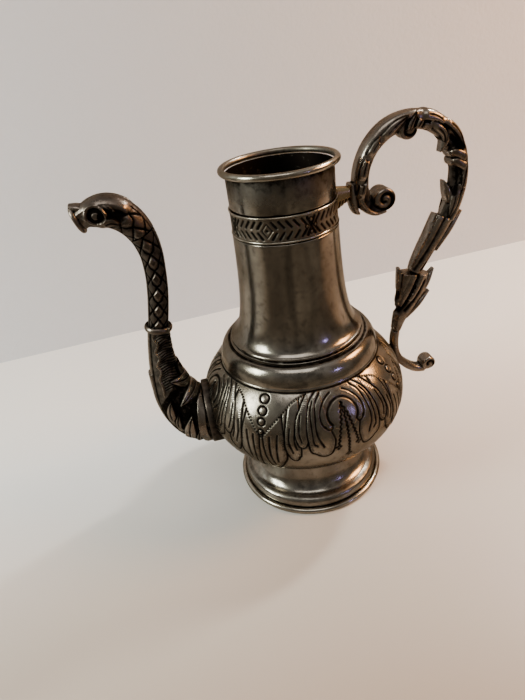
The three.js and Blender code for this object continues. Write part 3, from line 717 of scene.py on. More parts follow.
def chase_bowl(relief, arc_at):
    """The chased pattern of half a motif, from the middle of a plain field (0 degrees) to the middle of a
    medallion (45 degrees). Points are (degrees, height above the table)."""

    def line(points, steps=10):
        return smooth_curve([(degrees, arc_at(height * MM)) for degrees, height in points], steps)

    field_edge = [(33, 95.6), (24, 93.6), (16.4, 91.1), (11.5, 87.1), (6, 81.2), (2.6, 76.9), (0, 74)]
    petals = [
        [(0.4, 84), (1.5, 63.1), (3.2, 50), (5.5, 46.6), (7.6, 50.5), (10.4, 56), (12.6, 65.2), (10.4, 88)],
        [(14, 92), (11.9, 72), (13.4, 63.6), (16.6, 59.2), (19.2, 62.6), (20.4, 68.4), (21, 93)],
        [(27, 95.4), (21, 88.7), (18.4, 84), (17.4, 77.7), (19, 71), (21.4, 69), (23.6, 70.2), (26, 76)],
        [(34, 96), (25.6, 87), (24.3, 78), (25, 69), (28.6, 63.6)]
        + [(33.5, 61), (37, 64), (38.4, 70.9), (37, 77)],
    ]
    for points in petals:
        relief.petal(line(points), 0.22 * MM, LINE, CUT)
    middles = [
        [(4.6, 75), (4.4, 65), (5.3, 54)],
        [(8.6, 76.4), (7.9, 68.2), (7.4, 57)],
        [(14.8, 80.2), (14.1, 74), (15.8, 66)],
        [(17.8, 80), (16.9, 74), (18, 68.5)],
        [(21.1, 86), (19.9, 78), (21, 72.6)],
        [(29.4, 91), (27.2, 83), (27.4, 75), (29.3, 69.4)],
        [(34.7, 93.8), (30.4, 87.5), (29.6, 79), (32.6, 68.4)],
    ]
    for points in middles:
        relief.groove(line(points), LINE, CUT)

    plain = relief.along > np.interp(
        relief.across, *np.array(sorted((d, arc_at(h * MM)) for d, h in field_edge)).T
    )
    relief.height[plain] = 0
    relief.dark[plain] = 0
    relief.dots(line(field_edge), 1.7 * MM, 0.5 * MM, 0.45 * MM)

    def round_medallion(across, up, first, last):
        """Part of an oval round the medallion's middle, in steps of 10 degrees from its top."""
        angles = np.radians(range(first, last, 10))
        return [(MEDALLION[0] - across * math.sin(a), MEDALLION[1] + up * math.cos(a)) for a in angles]

    middle = [MEDALLION, (MEDALLION[0], MEDALLION[1] - 0.1)]
    disc = relief.near(line(middle), 8.6 * MM)[0]
    relief.height[disc] = 0.25 * MM
    relief.dark[disc] = 0
    ring = round_medallion(8.6, 6.9, 0, 131)
    relief.groove(line(ring), 1.25 * MM, 0.5 * MM)
    hook = [ring[-1], (37.6, 77.4), (35.2, 77.9), (34.2, 79.6)]
    relief.groove(line(hook), LINE, CUT)
    relief.groove(line(round_medallion(12.4, 10.0, 20, 121)), LINE, CUT)
    relief.dots(line(round_medallion(10.4, 8.3, 20, 121)), 1.0 * MM, 0.3 * MM, 0.16 * MM, 0.5)


def hang_tails(relief, arc_at):
    """Three wavy stems that hang from each medallion's middle and end in three dots each."""
    for degrees, foot in ((-5.6, 66.0), (0.4, 58.2), (5.6, 65.4)):
        share = np.linspace(0, 1, 60)
        height = STEM_TOP + (foot - STEM_TOP) * share
        swing = 0.45 * np.sin(2 * math.pi * share * (STEM_TOP - foot) / STEM_WAVE)
        across = MEDALLION[0] + degrees * share**0.8 + swing
        stem = np.stack([across, [arc_at(h * MM) for h in height]], 1)
        relief.groove(stem, 0.85 * MM, 0.4 * MM)
        for across, down in ((-1.1, 0.4), (0, -0.9), (1.1, 0.4)):
            spot = (MEDALLION[0] + degrees + across, arc_at((foot + down - 0.6) * MM))
            relief.pit(spot, 1.6 * MM, 0.62 * MM, 0.4 * MM)


def bowl():
    """The raised bowl, open at the top, with its mouth turned up inside the collar."""
    radius, height, length, across, up = bowl_rows()
    degrees = np.linspace(0, 360, BOWL_COLUMNS, endpoint=False)

    def arc_at(level):
        return float(np.interp(level, height, length))

    half = MOTIF_DEGREES / 2
    offset = (degrees - FIELD_CENTRE_DEGREES + half) % MOTIF_DEGREES - half
    wander = 0.5 * np.sin(np.radians(7 * degrees)) + 0.35 * np.sin(np.radians(11 * degrees) + 1)
    worked = np.abs(offset) + wander * np.sin(np.pi * np.abs(offset) / half)
    scale = radius[:, None] * math.pi / 180
    relief = Relief(worked[None, :], length[:, None], scale)
    chase_bowl(relief, arc_at)
    medallion = (degrees - FIELD_CENTRE_DEGREES) % MOTIF_DEGREES
    tails = Relief(medallion[None, :], length[:, None], scale)
    hang_tails(tails, arc_at)
    field = Relief(offset[None, :], length[:, None], scale)
    for place, size in FIELD_BOSSES:
        field.boss((0.0, arc_at(place * MM)), size * MM, 0.45 * MM, 0.9 * MM, 0.4 * MM)
    hide = (height > COLLAR_BASE + 0.2 * MM)[:, None] | (height < CHASED_FLOOR)[:, None]
    depth = np.where(hide, 0, relief.height + tails.height + field.height)
    dark = np.where(hide, 0, np.maximum.reduce([relief.dark, tails.dark, field.dark]))
    dents = DENT_DEPTH * np.sin(np.radians(9 * degrees))[None, :] * np.sin(length * 160)[:, None]
    out = radius[:, None] + (depth + dents) * across[:, None]
    rise = height[:, None] + (depth + dents) * up[:, None]
    turn = np.radians(degrees)[None, :]
    outside = np.stack([out * np.cos(turn), out * np.sin(turn), rise + 0 * turn], -1)
    stub_bore = BOWL_MOUTH_RADIUS - SHEET_WALL
    bore_radius, bore_half = BOWL_RADIUS - SHEET_WALL, BOWL_HALF_HEIGHT - SHEET_WALL
    bore_end = math.degrees(math.acos(stub_bore / bore_radius))
    inner = arc((0, BOWL_CENTRE), bore_radius, bore_half, bore_end, -89.8, 26)
    stub = [(BOWL_MOUTH_RADIUS, BOWL_TOP), (stub_bore, BOWL_TOP)]
    inside = turned_rows(np.vstack([stub, inner]), BOWL_COLUMNS)
    places, faces = skin(np.concatenate([outside, inside]))
    mesh = mesh_of("bowl_chased", places, faces)
    joint = smoothstep(COLLAR_BASE - 1.0 * MM, COLLAR_BASE, height)[:, None] + 0 * dark
    waist = np.exp(-(((radius - FOOT_WAIST_RADIUS) / (0.9 * MM)) ** 2)) * (height < BOWL_CENTRE)
    outer_patina = np.maximum.reduce([dark, joint, waist[:, None] + 0 * dark])
    lining = np.full(inside.shape[:2], 0.9)
    set_patina(mesh, np.concatenate([outer_patina.ravel(), lining.ravel(), [0.3, 0.9]]))
    piece(mesh, ["bowl"], CHASED)


# ---- Collar and neck ----
NECK_STEPS = 288


def shoulder_collar():
    """The domed ring that covers the bowl's mouth and carries the neck."""
    base, top = COLLAR_BASE + SOLDER_GAP / 2, COLLAR_TOP
    across = COLLAR_RADIUS - COLLAR_SHOULDER_RADIUS
    edge = [(COLLAR_RADIUS - 0.2 * MM, base), (COLLAR_RADIUS, base + 0.6 * MM)]
    edge.append((COLLAR_RADIUS - 0.5 * MM, base + 1.5 * MM))
    roll = arc((COLLAR_SHOULDER_RADIUS - 0.2 * MM, base), across - 0.2 * MM, top - base, 10, 84, 34)
    inner_edge = COLLAR_RADIUS - SHEET_WALL
    seat = BOWL_MOUTH_RADIUS - SHEET_WALL
    inside = arc(
        (COLLAR_SHOULDER_RADIUS, base + 1.4 * MM),
        inner_edge - COLLAR_SHOULDER_RADIUS,
        top - SHEET_WALL - base - 1.4 * MM,
        90,
        0,
        10,
    )
    outline = np.vstack([smooth_curve(edge, 4), roll, [(seat, top), (seat, top - SHEET_WALL)], inside])
    places, faces = skin(turned_rows(rounded(outline, 0.3 * MM), TURNED_STEPS), loop=True)
    mesh = mesh_of("shoulder_collar_spun", places, faces)
    low_edge = smoothstep(base + 0.35 * MM, base, places[:, 2])
    under_lip = smoothstep(top - 0.5 * MM, top, places[:, 2])
    set_patina(mesh, np.maximum(low_edge, 0.8 * under_lip))
    piece(mesh, ["shoulder_collar"], POLISHED)


def neck():
    """The spun neck: a cove over the collar, a rounded lip, a flare and a rolled-in seat for the band.
    Slow waves a few hundredths of a millimetre deep keep its mirror uneven."""
    lip = NECK_BASE + NECK_LIP_HEIGHT
    wire_low, wire_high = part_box("band_upper_wire")
    gap = wire_high.z - wire_low.z + 2 * SOLDER_GAP
    seat_base, seat_top = BAND_BASE - gap, BAND_TOP + gap
    flare_height = seat_base - BAND_SEAT_DEPTH - lip
    top_radius = NECK_RADIUS + NECK_TAPER
    flare = bezier(
        [
            (NECK_LIP_RADIUS - 0.3 * MM, lip),
            (top_radius + 0.34 * (NECK_LIP_RADIUS - top_radius), lip + 0.04 * flare_height),
            (top_radius + 0.6 * MM, lip + 0.34 * flare_height),
            (top_radius, lip + flare_height),
        ],
        70,
    )
    cove = arc((NECK_LIP_RADIUS + 0.35 * MM, NECK_BASE + 1.2 * MM), 1.1 * MM, 1.1 * MM, 250, 110, 12)
    seat_radius = NECK_RADIUS - BAND_SEAT_DEPTH
    top = [(seat_radius, seat_base), (seat_radius, seat_top)]
    top += [(NECK_RADIUS, seat_top + 0.4 * MM), (NECK_RADIUS, NECK_TOP)]
    outside = np.vstack([cove, [(NECK_LIP_RADIUS, lip - 0.5 * MM)], flare, top])
    inner_flare = flare - np.linspace((SHEET_WALL, SHEET_WALL), (SHEET_WALL, 0), len(flare))
    inside = np.vstack([inner_flare, [(x - SHEET_WALL, z) for x, z in top]])[::-1]
    base = [(BOWL_MOUTH_RADIUS - SHEET_WALL, NECK_BASE), (COLLAR_SHOULDER_RADIUS - SOLDER_GAP, NECK_BASE)]
    rows = turned_rows(rounded(np.vstack([outside, inside, base]), 0.3 * MM), NECK_STEPS)
    turn = np.arctan2(rows[..., 1], rows[..., 0])
    height = rows[..., 2]
    radius = np.hypot(rows[..., 0], rows[..., 1])
    waves = 0.06 * np.sin(7 * turn + height * 30) + 0.04 * np.sin(13 * turn + 1 - height * 50)
    visible = smoothstep(lip, lip + 8 * MM, height) * smoothstep(NECK_TOP, NECK_TOP - 4 * MM, height)
    inner_wall = radius < np.interp(height, *flare[:, ::-1].T) - 0.7 * MM
    rows[..., :2] *= (1 + waves * MM * visible / radius)[..., None]
    places, faces = skin(rows, loop=True)
    mesh = mesh_of("neck_spun", places, faces)
    cove_dark = smoothstep(lip - 0.6 * MM, lip - 1.4 * MM, height) * (height > NECK_BASE + 0.3 * MM)
    pushed_radius = np.hypot(rows[..., 0], rows[..., 1])
    seat_dark = (pushed_radius < NECK_RADIUS - 0.1 * MM) & (height > seat_base - 1 * MM)
    under_wire = smoothstep(NECK_TOP - 0.9 * MM, NECK_TOP, height)
    set_patina(mesh, np.maximum.reduce([0.75 * cove_dark, 0.9 * seat_dark, 0.95 * inner_wall, under_wire]))
    piece(mesh, ["neck"], POLISHED)


def wire(node, steps, sides, inner_dark):
    """A round wire bent into a ring, sized from its CAD node."""
    low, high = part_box(node)
    radius = (high.z - low.z) / 2
    centre = (high.x - radius, (low.z + high.z) / 2)
    section = arc(centre, radius, radius, 0, 360, sides + 1)[:-1]
    rows = turned_rows(section, steps)
    places, faces = skin(rows, loop=True)
    mesh = mesh_of(node + "_drawn", places, faces)
    distance = np.hypot(places[:, 0], places[:, 1])
    set_patina(mesh, inner_dark * smoothstep(centre[0] - 0.3 * radius, centre[0] - radius, distance))
    piece(mesh, [node], WIRE)


# ---- Ornament band ----
BAND_COLUMNS = 760
BAND_MOTIFS = 8
SLOTS_PER_MOTIF = 5
BAND_START_DEGREES = -75.5
BAND_WALL = 0.6 * MM
SLOT_NEAR, SLOT_FAR = 1.2 * MM, 4.2 * MM
SLOT_WIDTH, SLOT_DEPTH = 1.2 * MM, 0.5 * MM
SLOT_LEAN = 0.32
CROSS_WIDTH = 1.3 * MM
DIAMOND_HALF_HEIGHT = 3.4 * MM
DIAMOND_LINE, DIAMOND_CUT = 0.7 * MM, 0.35 * MM


def ornament_band():
    """A rolled strip: two rows of slanting slots that turn round at each motif, by turns a diamond and a
    cross with four small bosses."""
    low, high = BAND_BASE - 0.2 * MM, BAND_TOP + 0.2 * MM
    middle = (low + high) / 2
    heights = np.concatenate([[low], np.linspace(low + 0.2 * MM, high - 0.2 * MM, 50), [high]])
    turn = np.linspace(0, 2 * math.pi, BAND_COLUMNS, endpoint=False)
    motif = 2 * math.pi / BAND_MOTIFS
    start = math.radians(BAND_START_DEGREES)
    relief = Relief(((turn - start + motif) % (2 * motif) - motif)[None, :], heights[:, None], BAND_RADIUS)
    pitch = motif / (SLOTS_PER_MOTIF + 1)
    for i in range(1, SLOTS_PER_MOTIF + 1):
        for side in (-1, 1):
            at = side * i * pitch
            slant = side * (SLOT_LEAN * pitch)
            for row in (-1, 1):
                slot = [(at - slant, middle + row * SLOT_NEAR), (at + slant, middle + row * SLOT_FAR)]
                relief.groove(slot, SLOT_WIDTH, SLOT_DEPTH)
    reach = 0.55 * pitch
    for rise in (SLOT_FAR, -SLOT_FAR):
        relief.groove([(-reach, middle - rise), (reach, middle + rise)], CROSS_WIDTH, SLOT_DEPTH)
    for up in (2.9 * MM, -2.9 * MM):
        relief.boss((0, middle + up), 1.0 * MM, 0.25 * MM, 0.6 * MM, 0.2 * MM)
    for across in (-0.62 * pitch, 0.62 * pitch):
        relief.boss((across, middle), 0.9 * MM, 0.2 * MM, 0.5 * MM, 0.2 * MM)
    relief.pit((0, middle), 1.2 * MM, 0.75 * MM, SLOT_DEPTH)
    diamond = [(motif - 0.75 * pitch, middle), (motif, middle + DIAMOND_HALF_HEIGHT)]
    diamond.append((motif + 0.75 * pitch, middle))
    for corners in (diamond, [(a, 2 * middle - h) for a, h in diamond]):
        for turned in (0, 2 * motif):
            outline = [(a - turned, h) for a, h in corners]
            relief.groove(outline, DIAMOND_LINE, DIAMOND_CUT, 0.8)
    for at in (motif, -motif):
        relief.pit((at, middle), 1.4 * MM, 0.8 * MM, SLOT_DEPTH)
    edge = smoothstep(0, 0.5 * MM, np.minimum(heights - low, high - heights))[:, None]
    out = BAND_RADIUS + np.clip(relief.height, -0.45 * MM, 0.3 * MM) * edge
    outside = np.stack([out * np.cos(turn), out * np.sin(turn), heights[:, None] + 0 * out], -1)
    back = BAND_RADIUS - BAND_WALL
    inside = turned_rows(np.array([(back, high), (back, low)]), BAND_COLUMNS)
    places, faces = skin(np.concatenate([outside, inside]), loop=True)
    mesh = mesh_of("ornament_band_rolled", places, faces)
    shade = np.maximum(relief.dark, 0.2 + 400 * np.maximum(-relief.height, 0))
    set_patina(mesh, np.concatenate([shade.ravel(), np.ones(2 * BAND_COLUMNS)]))
    piece(mesh, ["ornament_band"], BAND)


# ---- Castings that follow a curve in the pot's middle plane ----
def fill(value, squareness):
    """Turns a circle's sine or cosine into that of a rounder square as squareness falls below 1."""
    return np.sign(value) * np.abs(value) ** squareness


class Stem:
    """A bar that follows a curve. Each station is x, z, half depth in the plane and half width across it,
    in mm from the origin. Angle 0 is on the left of the way it runs, 180 degrees on the right."""

    def __init__(self, origin, stations, pitch=0.3 * MM, steps=24):
        stations = np.asarray(stations, float) * MM
        curve = smooth_curve(stations, steps)
        length = np.concatenate([[0], np.cumsum(np.linalg.norm(np.diff(curve[:, :2], axis=0), axis=1))])
        self.station_length = length[::steps]
        curve = evenly(curve, int(length[-1] / pitch) + 2)
        self.length = np.linspace(0, length[-1], len(curve))
        self.middle = np.stack([curve[:, 0] + origin[0], 0 * curve[:, 0], curve[:, 1] + origin[1]], 1)
        along = np.gradient(curve[:, :2], axis=0)
        along /= np.linalg.norm(along, axis=1)[:, None]
        self.along = np.stack([along[:, 0], 0 * along[:, 0], along[:, 1]], 1)
        self.left = np.stack([-along[:, 1], 0 * along[:, 0], along[:, 0]], 1)
        self.depth, self.width = np.maximum(curve[:, 2], 0.1 * MM), np.maximum(curve[:, -1], 0.1 * MM)

    def grid(self, angles, squareness=1.0, inset=0.0):
        """Points on the bar's surface, a row for each step along it and a column for each angle."""
        deep = (self.depth - inset)[:, None] * fill(np.cos(angles), squareness)
        wide = (self.width - inset)[:, None] * fill(np.sin(angles), squareness)
        across = np.array([0.0, 1.0, 0.0])
        return self.middle[:, None] + self.left[:, None] * deep[..., None] + across * wide[..., None]


def outward(points, middle, closed):
    """Unit normals of a grid of points, pointing away from its middle line."""
    columns = np.concatenate([points[:, -1:], points, points[:, :1]], 1) if closed else points
    down = np.gradient(columns, axis=0)
    across = np.gradient(columns, axis=1)
    normal = np.cross(down, across)
    if closed:
        normal = normal[:, 1:-1]
    normal /= np.maximum(np.linalg.norm(normal, axis=-1, keepdims=True), 1e-12)
    away = ((points - middle[:, None]) * normal).sum(-1, keepdims=True)
    return normal * np.where(away < 0, -1, 1)


def bar(stem, columns=72, squareness=0.8, decorate=None):
    """A solid bar. decorate works a relief into its surface as seen from the side; the relief's
    outer_side runs from 1 on the left of the way the bar goes to -1 on the right."""
    angles = np.linspace(0, 2 * math.pi, columns, endpoint=False)
    points = stem.grid(angles, squareness)
    dark = np.zeros(points.shape[:2])
    if decorate:
        relief = Relief(points[..., 0], points[..., 2], 1.0)
        relief.outer_side = np.broadcast_to(np.cos(angles), points.shape[:2])
        decorate(relief)
        points = points + outward(points, stem.middle, True) * relief.height[..., None]
        dark = relief.dark
    return *skin(points), np.concatenate([dark.ravel(), [0, 0]])


def spur(*stations):
    """A small pointed leaf end, its stations in mm from the part's origin."""
    return bar(Stem((0, 0), stations, 0.5 * MM), 28, 0.9)


DISC_EDGE = 1.4 * MM
DISC_ROWS, DISC_COLUMNS, SPIRAL_STEPS = 44, 120, 60


def scroll_disc(centre, radius, half_width, turns, start, depth):
    """A rounded disc with a spiral cut into both faces; start is the spiral's outer end in degrees."""
    edge = arc((radius - DISC_EDGE, half_width - DISC_EDGE), DISC_EDGE, DISC_EDGE, 90, 0, 8)
    profile = np.vstack([[(0.02 * MM, half_width), (0.35 * radius, half_width)], edge])
    share = np.linspace(0, 1, DISC_ROWS)
    ring = np.stack([np.interp(share, np.linspace(0, 1, len(profile)), c) for c in profile.T], 1)
    ring = np.vstack([ring, (ring * (1, -1))[::-1]])
    turn = np.linspace(0, 2 * math.pi, DISC_COLUMNS, endpoint=False)
    x = centre[0] + ring[:, :1] * np.cos(turn)
    z = centre[1] + ring[:, :1] * np.sin(turn)
    y = ring[:, 1:] + 0 * turn
    relief = Relief(x, z, 1.0)
    along = np.linspace(0, 1, SPIRAL_STEPS)
    angle = math.radians(start) + 2 * math.pi * turns * along
    reach = radius * (0.93 - 0.75 * along)
    spiral = np.stack([centre[0] + reach * np.cos(angle), centre[1] + reach * np.sin(angle)], 1)
    relief.groove(spiral, 0.3 * radius, depth)
    y = y + relief.height * np.sign(ring[:, 1:])
    return *skin(np.stack([x, y, z], -1)), np.concatenate([relief.dark.ravel(), [0, 0]])


# ---- Spout ----
SPOUT_WALL = 1.3 * MM
SPOUT_ORIGIN = (-0.061, 0.0627)
SPOUT_FACE = -0.0617
KNOP_STATION, HEAD_STATION = 9, 14
SPOUT_JOINT_GAP = 0.15 * MM
SPOUT_STATIONS = [
    (-6, -0.4, 18.4), (0, 0, 18.4), (6, 2.6, 17.4), (12, 9.4, 15), (16.2, 19, 12.4),
    (17.8, 30, 10), (18.2, 41, 8), (17.4, 51, 6.9), (16.2, 59, 6.3), (15.4, 63.8, 5.8),
    (12.8, 74.8, 5.8), (10.6, 85.8, 5.8), (9.4, 95.8, 5.8), (9.2, 105.8, 6.2), (11.2, 115.8, 7.0),
    (16, 124.4, 7.9), (23, 129.2, 8.1), (30.2, 129.6, 7.2), (35.6, 128.4, 5.2), (38, 127.2, 4.6),
]
BEAK_TOP = [(-94.5, 195.2, 2.2, 4.4), (-98.8, 196.7, 1.8, 3.9), (-101.9, 197.6, 1.3, 2.6)]
BEAK_RIM_ENDS = ((-0.1013, 0.1962), (-0.0981, 0.1853))
BEAK_RIM_HALF_WIDTH = 4.4 * MM
BEAK_RIM_RADIUS = 1.25 * MM
spout_stem = Stem(SPOUT_ORIGIN, [(-out, up, radius) for out, up, radius in SPOUT_STATIONS])
FRONT_TO_BACK = np.linspace(0, math.pi, 84)
ELBOW_ROWS = 300
HATCH_ROWS, HATCH_TOP, HATCH_STEP = 25, 125.6, 1.45


def spout_part(first, last, inset=0.0):
    """Rows of the spout's surface between two stations, with a hair's gap at each joint, and which of
    the stem's steps they are."""
    low = spout_stem.station_length[first] + (SPOUT_JOINT_GAP if first else 0)
    high = spout_stem.station_length[last] - SPOUT_JOINT_GAP
    keep = (spout_stem.length >= low) & (spout_stem.length <= high)
    return spout_stem.grid(FRONT_TO_BACK, inset=inset)[keep], keep


def from_face(grid, count):
    """The grid cut off at the plane where the spout meets its flange, each column spaced out again."""
    out = np.empty((count, grid.shape[1], 3))
    for column in range(grid.shape[1]):
        x = grid[:, column, 0]
        behind = np.nonzero(x > SPOUT_FACE)[0]
        last = behind[-1] if len(behind) else 0
        here, there = x[last], x[min(last + 1, len(x) - 1)]
        start = last + (here - SPOUT_FACE) / max(here - there, 1e-9)
        rows = np.linspace(start, len(x) - 1, count)
        for axis in range(3):
            out[:, column, axis] = np.interp(rows, np.arange(len(x)), grid[:, column, axis])
    return out


def half_pipe(outer, inner, side):
    """Half of a split pipe from grids of its outside and its bore, closed along the seam and its ends."""
    count = outer.shape[1]
    ring = np.concatenate([outer, inner[:, ::-1]], 1)
    ring[..., 1] = np.maximum(ring[..., 1], SEAM) * side
    places, faces = skin(ring, ends=False)
    last = (len(ring) - 1) * 2 * count
    for i in range(count - 1):
        far, near = 2 * count - 1 - i, 2 * count - 2 - i
        faces.append([i + 1, i, far, near])
        faces.append([last + i, last + i + 1, last + near, last + far])
    return places, faces


def split_pipe(names, outer, inner, dark, material):
    """The two halves of a pipe, which stand for the CAD nodes of the same names."""
    for name, side in zip(names, (-1, 1)):
        places, faces = half_pipe(outer, inner, side)
        mesh = mesh_of(name + "_cast", places, faces)
        patina = np.concatenate([dark, np.full(inner.shape[:2], 0.95)[:, ::-1]], 1)
        set_patina(mesh, patina.ravel())
        piece(mesh, [name], material)


def spout_elbow():
    """The elbow's halves: plain strips along front and back, hatched fur under the knop ring, and leaves
    over a dark hollow where it turns."""
    outer = from_face(spout_part(0, KNOP_STATION)[0], ELBOW_ROWS)
    inner = from_face(spout_part(0, KNOP_STATION, SPOUT_WALL)[0], ELBOW_ROWS)
    relief = Relief(outer[..., 0], outer[..., 2], 1.0)
    off_seam = np.broadcast_to(
        smoothstep(0.42, 0.56, FRONT_TO_BACK) * smoothstep(2.75, 2.5, FRONT_TO_BACK), outer.shape[:2]
    )
    relief.height -= 0.5 * MM * off_seam
    relief.dark += 0.55 * off_seam
    wave = [(-79.4, 126.2), (-80.6, 122), (-78.9, 118.5), (-81.4, 114), (-79.8, 110.5), (-82.4, 106)]
    wave += [(-80.9, 102), (-83.1, 97.5), (-82.2, 92), (-82.6, 87.5), (-80.4, 83)]
    for i in range(HATCH_ROWS):
        height = HATCH_TOP - HATCH_STEP * i
        left = float(np.interp(-height, [-z for _, z in wave], [x for x, _ in wave])) + 1.1
        right = left + 7.2 + 0.12 * i
        sweep = [(left, height - 0.4), ((left + right) / 2, height + 0.9), (right, height - 0.8)]
        relief.groove(mm_line(sweep, 5), 0.75 * MM, 0.5 * MM, 0.95)
    relief.ridge(mm_line(wave), 0.55 * MM, 0.25 * MM)
    strip = np.exp(-(((FRONT_TO_BACK - 0.62) / 0.11) ** 2))
    relief.height -= 0.35 * MM * strip
    relief.dark = np.maximum(relief.dark, strip + 0 * relief.dark)
    hollow = mm_line([(-64, 92), (-72, 84), (-79, 74), (-72, 60), (-66, 64), (-66, 80)])
    ground = relief.near(hollow, 8.5 * MM)[0]
    relief.height[ground] = np.minimum(relief.height[ground], -0.6 * MM * off_seam[ground])
    relief.dark[ground] = np.maximum(relief.dark[ground], 0.8 * off_seam[ground])
    for points, half_width, lift, crease in (
        ([(-63.5, 91), (-68.5, 96), (-72.3, 103.6)], 2.7, 1.0, 0.35),
        ([(-62.5, 88.6), (-70, 92.4), (-78, 95.8)], 3.7, 1.3, 0.35),
        ([(-60.6, 85.8), (-67, 84.2), (-75.6, 79.8)], 4.1, 1.4, 0.5),
        ([(-80.6, 67.5), (-81.4, 76), (-79.6, 84.2)], 2.5, 1.3, 0.35),
        ([(-78.6, 62.5), (-78.6, 69.5), (-76.4, 76)], 1.7, 0.9, 0.35),
        ([(-73.4, 54.5), (-73, 63.5), (-70, 73.4)], 3.5, 1.4, 0.5),
        ([(-69.4, 51.5), (-68.9, 57), (-67.4, 63)], 1.7, 0.9, 0.35),
    ):
        relief.leaf(points, half_width, lift, crease)
    root = mm_line([(-63.2, 78), (-65, 70), (-65.6, 62), (-64.6, 53), (-63.2, 48)])
    relief.ridge(root, 2.3 * MM, 0.5 * MM)
    front = smoothstep(0.6, 0.3, FRONT_TO_BACK)
    tip = np.clip((outer[..., 2] - 0.086) / 0.013, 0, 1) * (outer[..., 2] < 0.099)
    relief.height += 1.0 * MM * tip * front
    row = np.arange(ELBOW_ROWS)[:, None]
    ends = smoothstep(0, 6, row) * smoothstep(ELBOW_ROWS - 1, ELBOW_ROWS - 6, row)
    dark = np.maximum(relief.dark, 0.5 * (1 - ends))
    middle = (outer[:, 0] + outer[:, -1]) / 2
    outer = outer + outward(outer, middle, False) * (relief.height * ends)[..., None]
    split_pipe(["spout_elbow_left", "spout_elbow_right"], outer, inner, dark, CAST_SMOOTH)


SCALE_PITCH = 9.0 * MM
SCALE_HALF_DEGREES = 31.0
PLAIN_DEGREES = 29.0


def scales(relief, low, high):
    """A lattice of pointed scales: whole ones down the middle of each side, halves against plain strips."""
    for row in range(int((high - low) / SCALE_PITCH) + 2):
        middle = low + row * SCALE_PITCH
        top, bottom = middle + SCALE_PITCH / 2, middle - SCALE_PITCH / 2
        for side in (-1, 1):
            corner = 90 + side * SCALE_HALF_DEGREES
            edge = 90 + side * (90 - PLAIN_DEGREES)
            bulge = 90 + side * SCALE_HALF_DEGREES * 0.66
            rim = [(90, top), (corner, middle), (bulge, bottom + 1.8 * MM), (90, bottom)]
            relief.groove(rim, 1.0 * MM, 0.5 * MM)
            for up in (0.42 * SCALE_PITCH, -0.42 * SCALE_PITCH):
                relief.groove([(corner, middle), (edge, middle + up)], 1.0 * MM, 0.5 * MM)
        across, up = 0.68 * SCALE_HALF_DEGREES, 0.34 * SCALE_PITCH
        for size, lift in ((1.0, 0.14), (0.86, 0.14), (0.55, -0.08)):
            face = [(90, middle + size * up), (90 + size * across, middle), (90, middle - size * up)]
            face.append((90 - size * across, middle))
            covered = relief.inside(np.array(face))
            relief.height[covered] += lift * MM
            relief.dark[covered] = 0.1 if lift > 0 else 0.4
    for degrees in (PLAIN_DEGREES, 180 - PLAIN_DEGREES):
        relief.groove([(degrees, low - 0.1), (degrees, high + 0.1)], 0.9 * MM, 0.45 * MM)


def spout_neck():
    """The scaled neck's halves."""
    outer, keep = spout_part(KNOP_STATION, HEAD_STATION)
    inner = spout_part(KNOP_STATION, HEAD_STATION, SPOUT_WALL)[0]
    length = spout_stem.length[keep]
    scale = spout_stem.depth[keep][:, None] * math.pi / 180
    relief = Relief(np.degrees(FRONT_TO_BACK)[None, :], length[:, None], scale)
    relief.dark += 0.42
    scales(relief, length[0] + 2.4 * MM, length[-1])
    middle = spout_stem.middle[keep]
    outer = outer + outward(outer, middle, False) * (relief.height - 0.25 * MM)[..., None]
    split_pipe(["spout_neck_left", "spout_neck_right"], outer, inner, relief.dark, CAST)


def spout_knop_ring():
    station = int(np.argmin(np.abs(spout_stem.length - spout_stem.station_length[KNOP_STATION])))
    middle, along, left = (v[station] for v in (spout_stem.middle, spout_stem.along, spout_stem.left))
    section = [(6.15, -1.6), (6.5, -1.9), (7.0, -1.65), (7.55, -0.7)]
    section += [(7.6, 0.5), (7.0, 1.5), (6.5, 1.8), (6.15, 1.6)]
    ring = smooth_curve(np.array(section) * MM, 6)
    turn = np.linspace(0, 2 * math.pi, 96, endpoint=False)
    spoke = left * np.cos(turn)[:, None] + np.array([0, 1.0, 0]) * np.sin(turn)[:, None]
    rows = middle + along * ring[:, 1][:, None, None] + spoke * ring[:, 0][:, None, None]
    places, faces = skin(rows, loop=True)
    mesh = mesh_of("spout_knop_ring_cast", places, faces)
    edge = np.abs(ring[:, 1]) / (1.9 * MM)
    set_patina(mesh, (0.1 + 0.6 * smoothstep(0.6, 1.0, edge))[:, None] + np.zeros(len(turn)))
    piece(mesh, ["spout_knop_ring"], CAST)


def spout_flange():
    low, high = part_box("spout_flange")
    outer, centre = (high.y - low.y) / 2, (high.z + low.z) / 2
    bore = outer - 2.5 * MM
    face = low.x
    section = [(bore, None), (bore, face + 0.4 * MM), (bore + 0.4 * MM, face), (outer - 0.7 * MM, face)]
    section += [(outer - 0.2 * MM, face + 0.25 * MM), (outer, face + 0.8 * MM), (outer, None)]
    turn = np.linspace(0, 2 * math.pi, 144, endpoint=False)
    rows = []
    for radius, x in section:
        y, z = radius * np.cos(turn), centre + radius * np.sin(turn)
        level = BOWL_RADIUS**2 * (1 - ((z - BOWL_CENTRE) / BOWL_HALF_HEIGHT) ** 2) - y**2
        bowl_side = -np.sqrt(np.maximum(level, 0)) - 0.1 * MM
        rows.append(np.stack([bowl_side if x is None else x + 0 * turn, y, z], -1))
    places, faces = skin(np.array(rows), loop=True)
    mesh = mesh_of("spout_flange_cast", places, faces)
    set_patina(mesh, np.array([1, 1, 0.9, 0.5, 0.35, 0.35, 0.7])[:, None] + np.zeros(len(turn)))
    piece(mesh, ["spout_flange"], CAST)


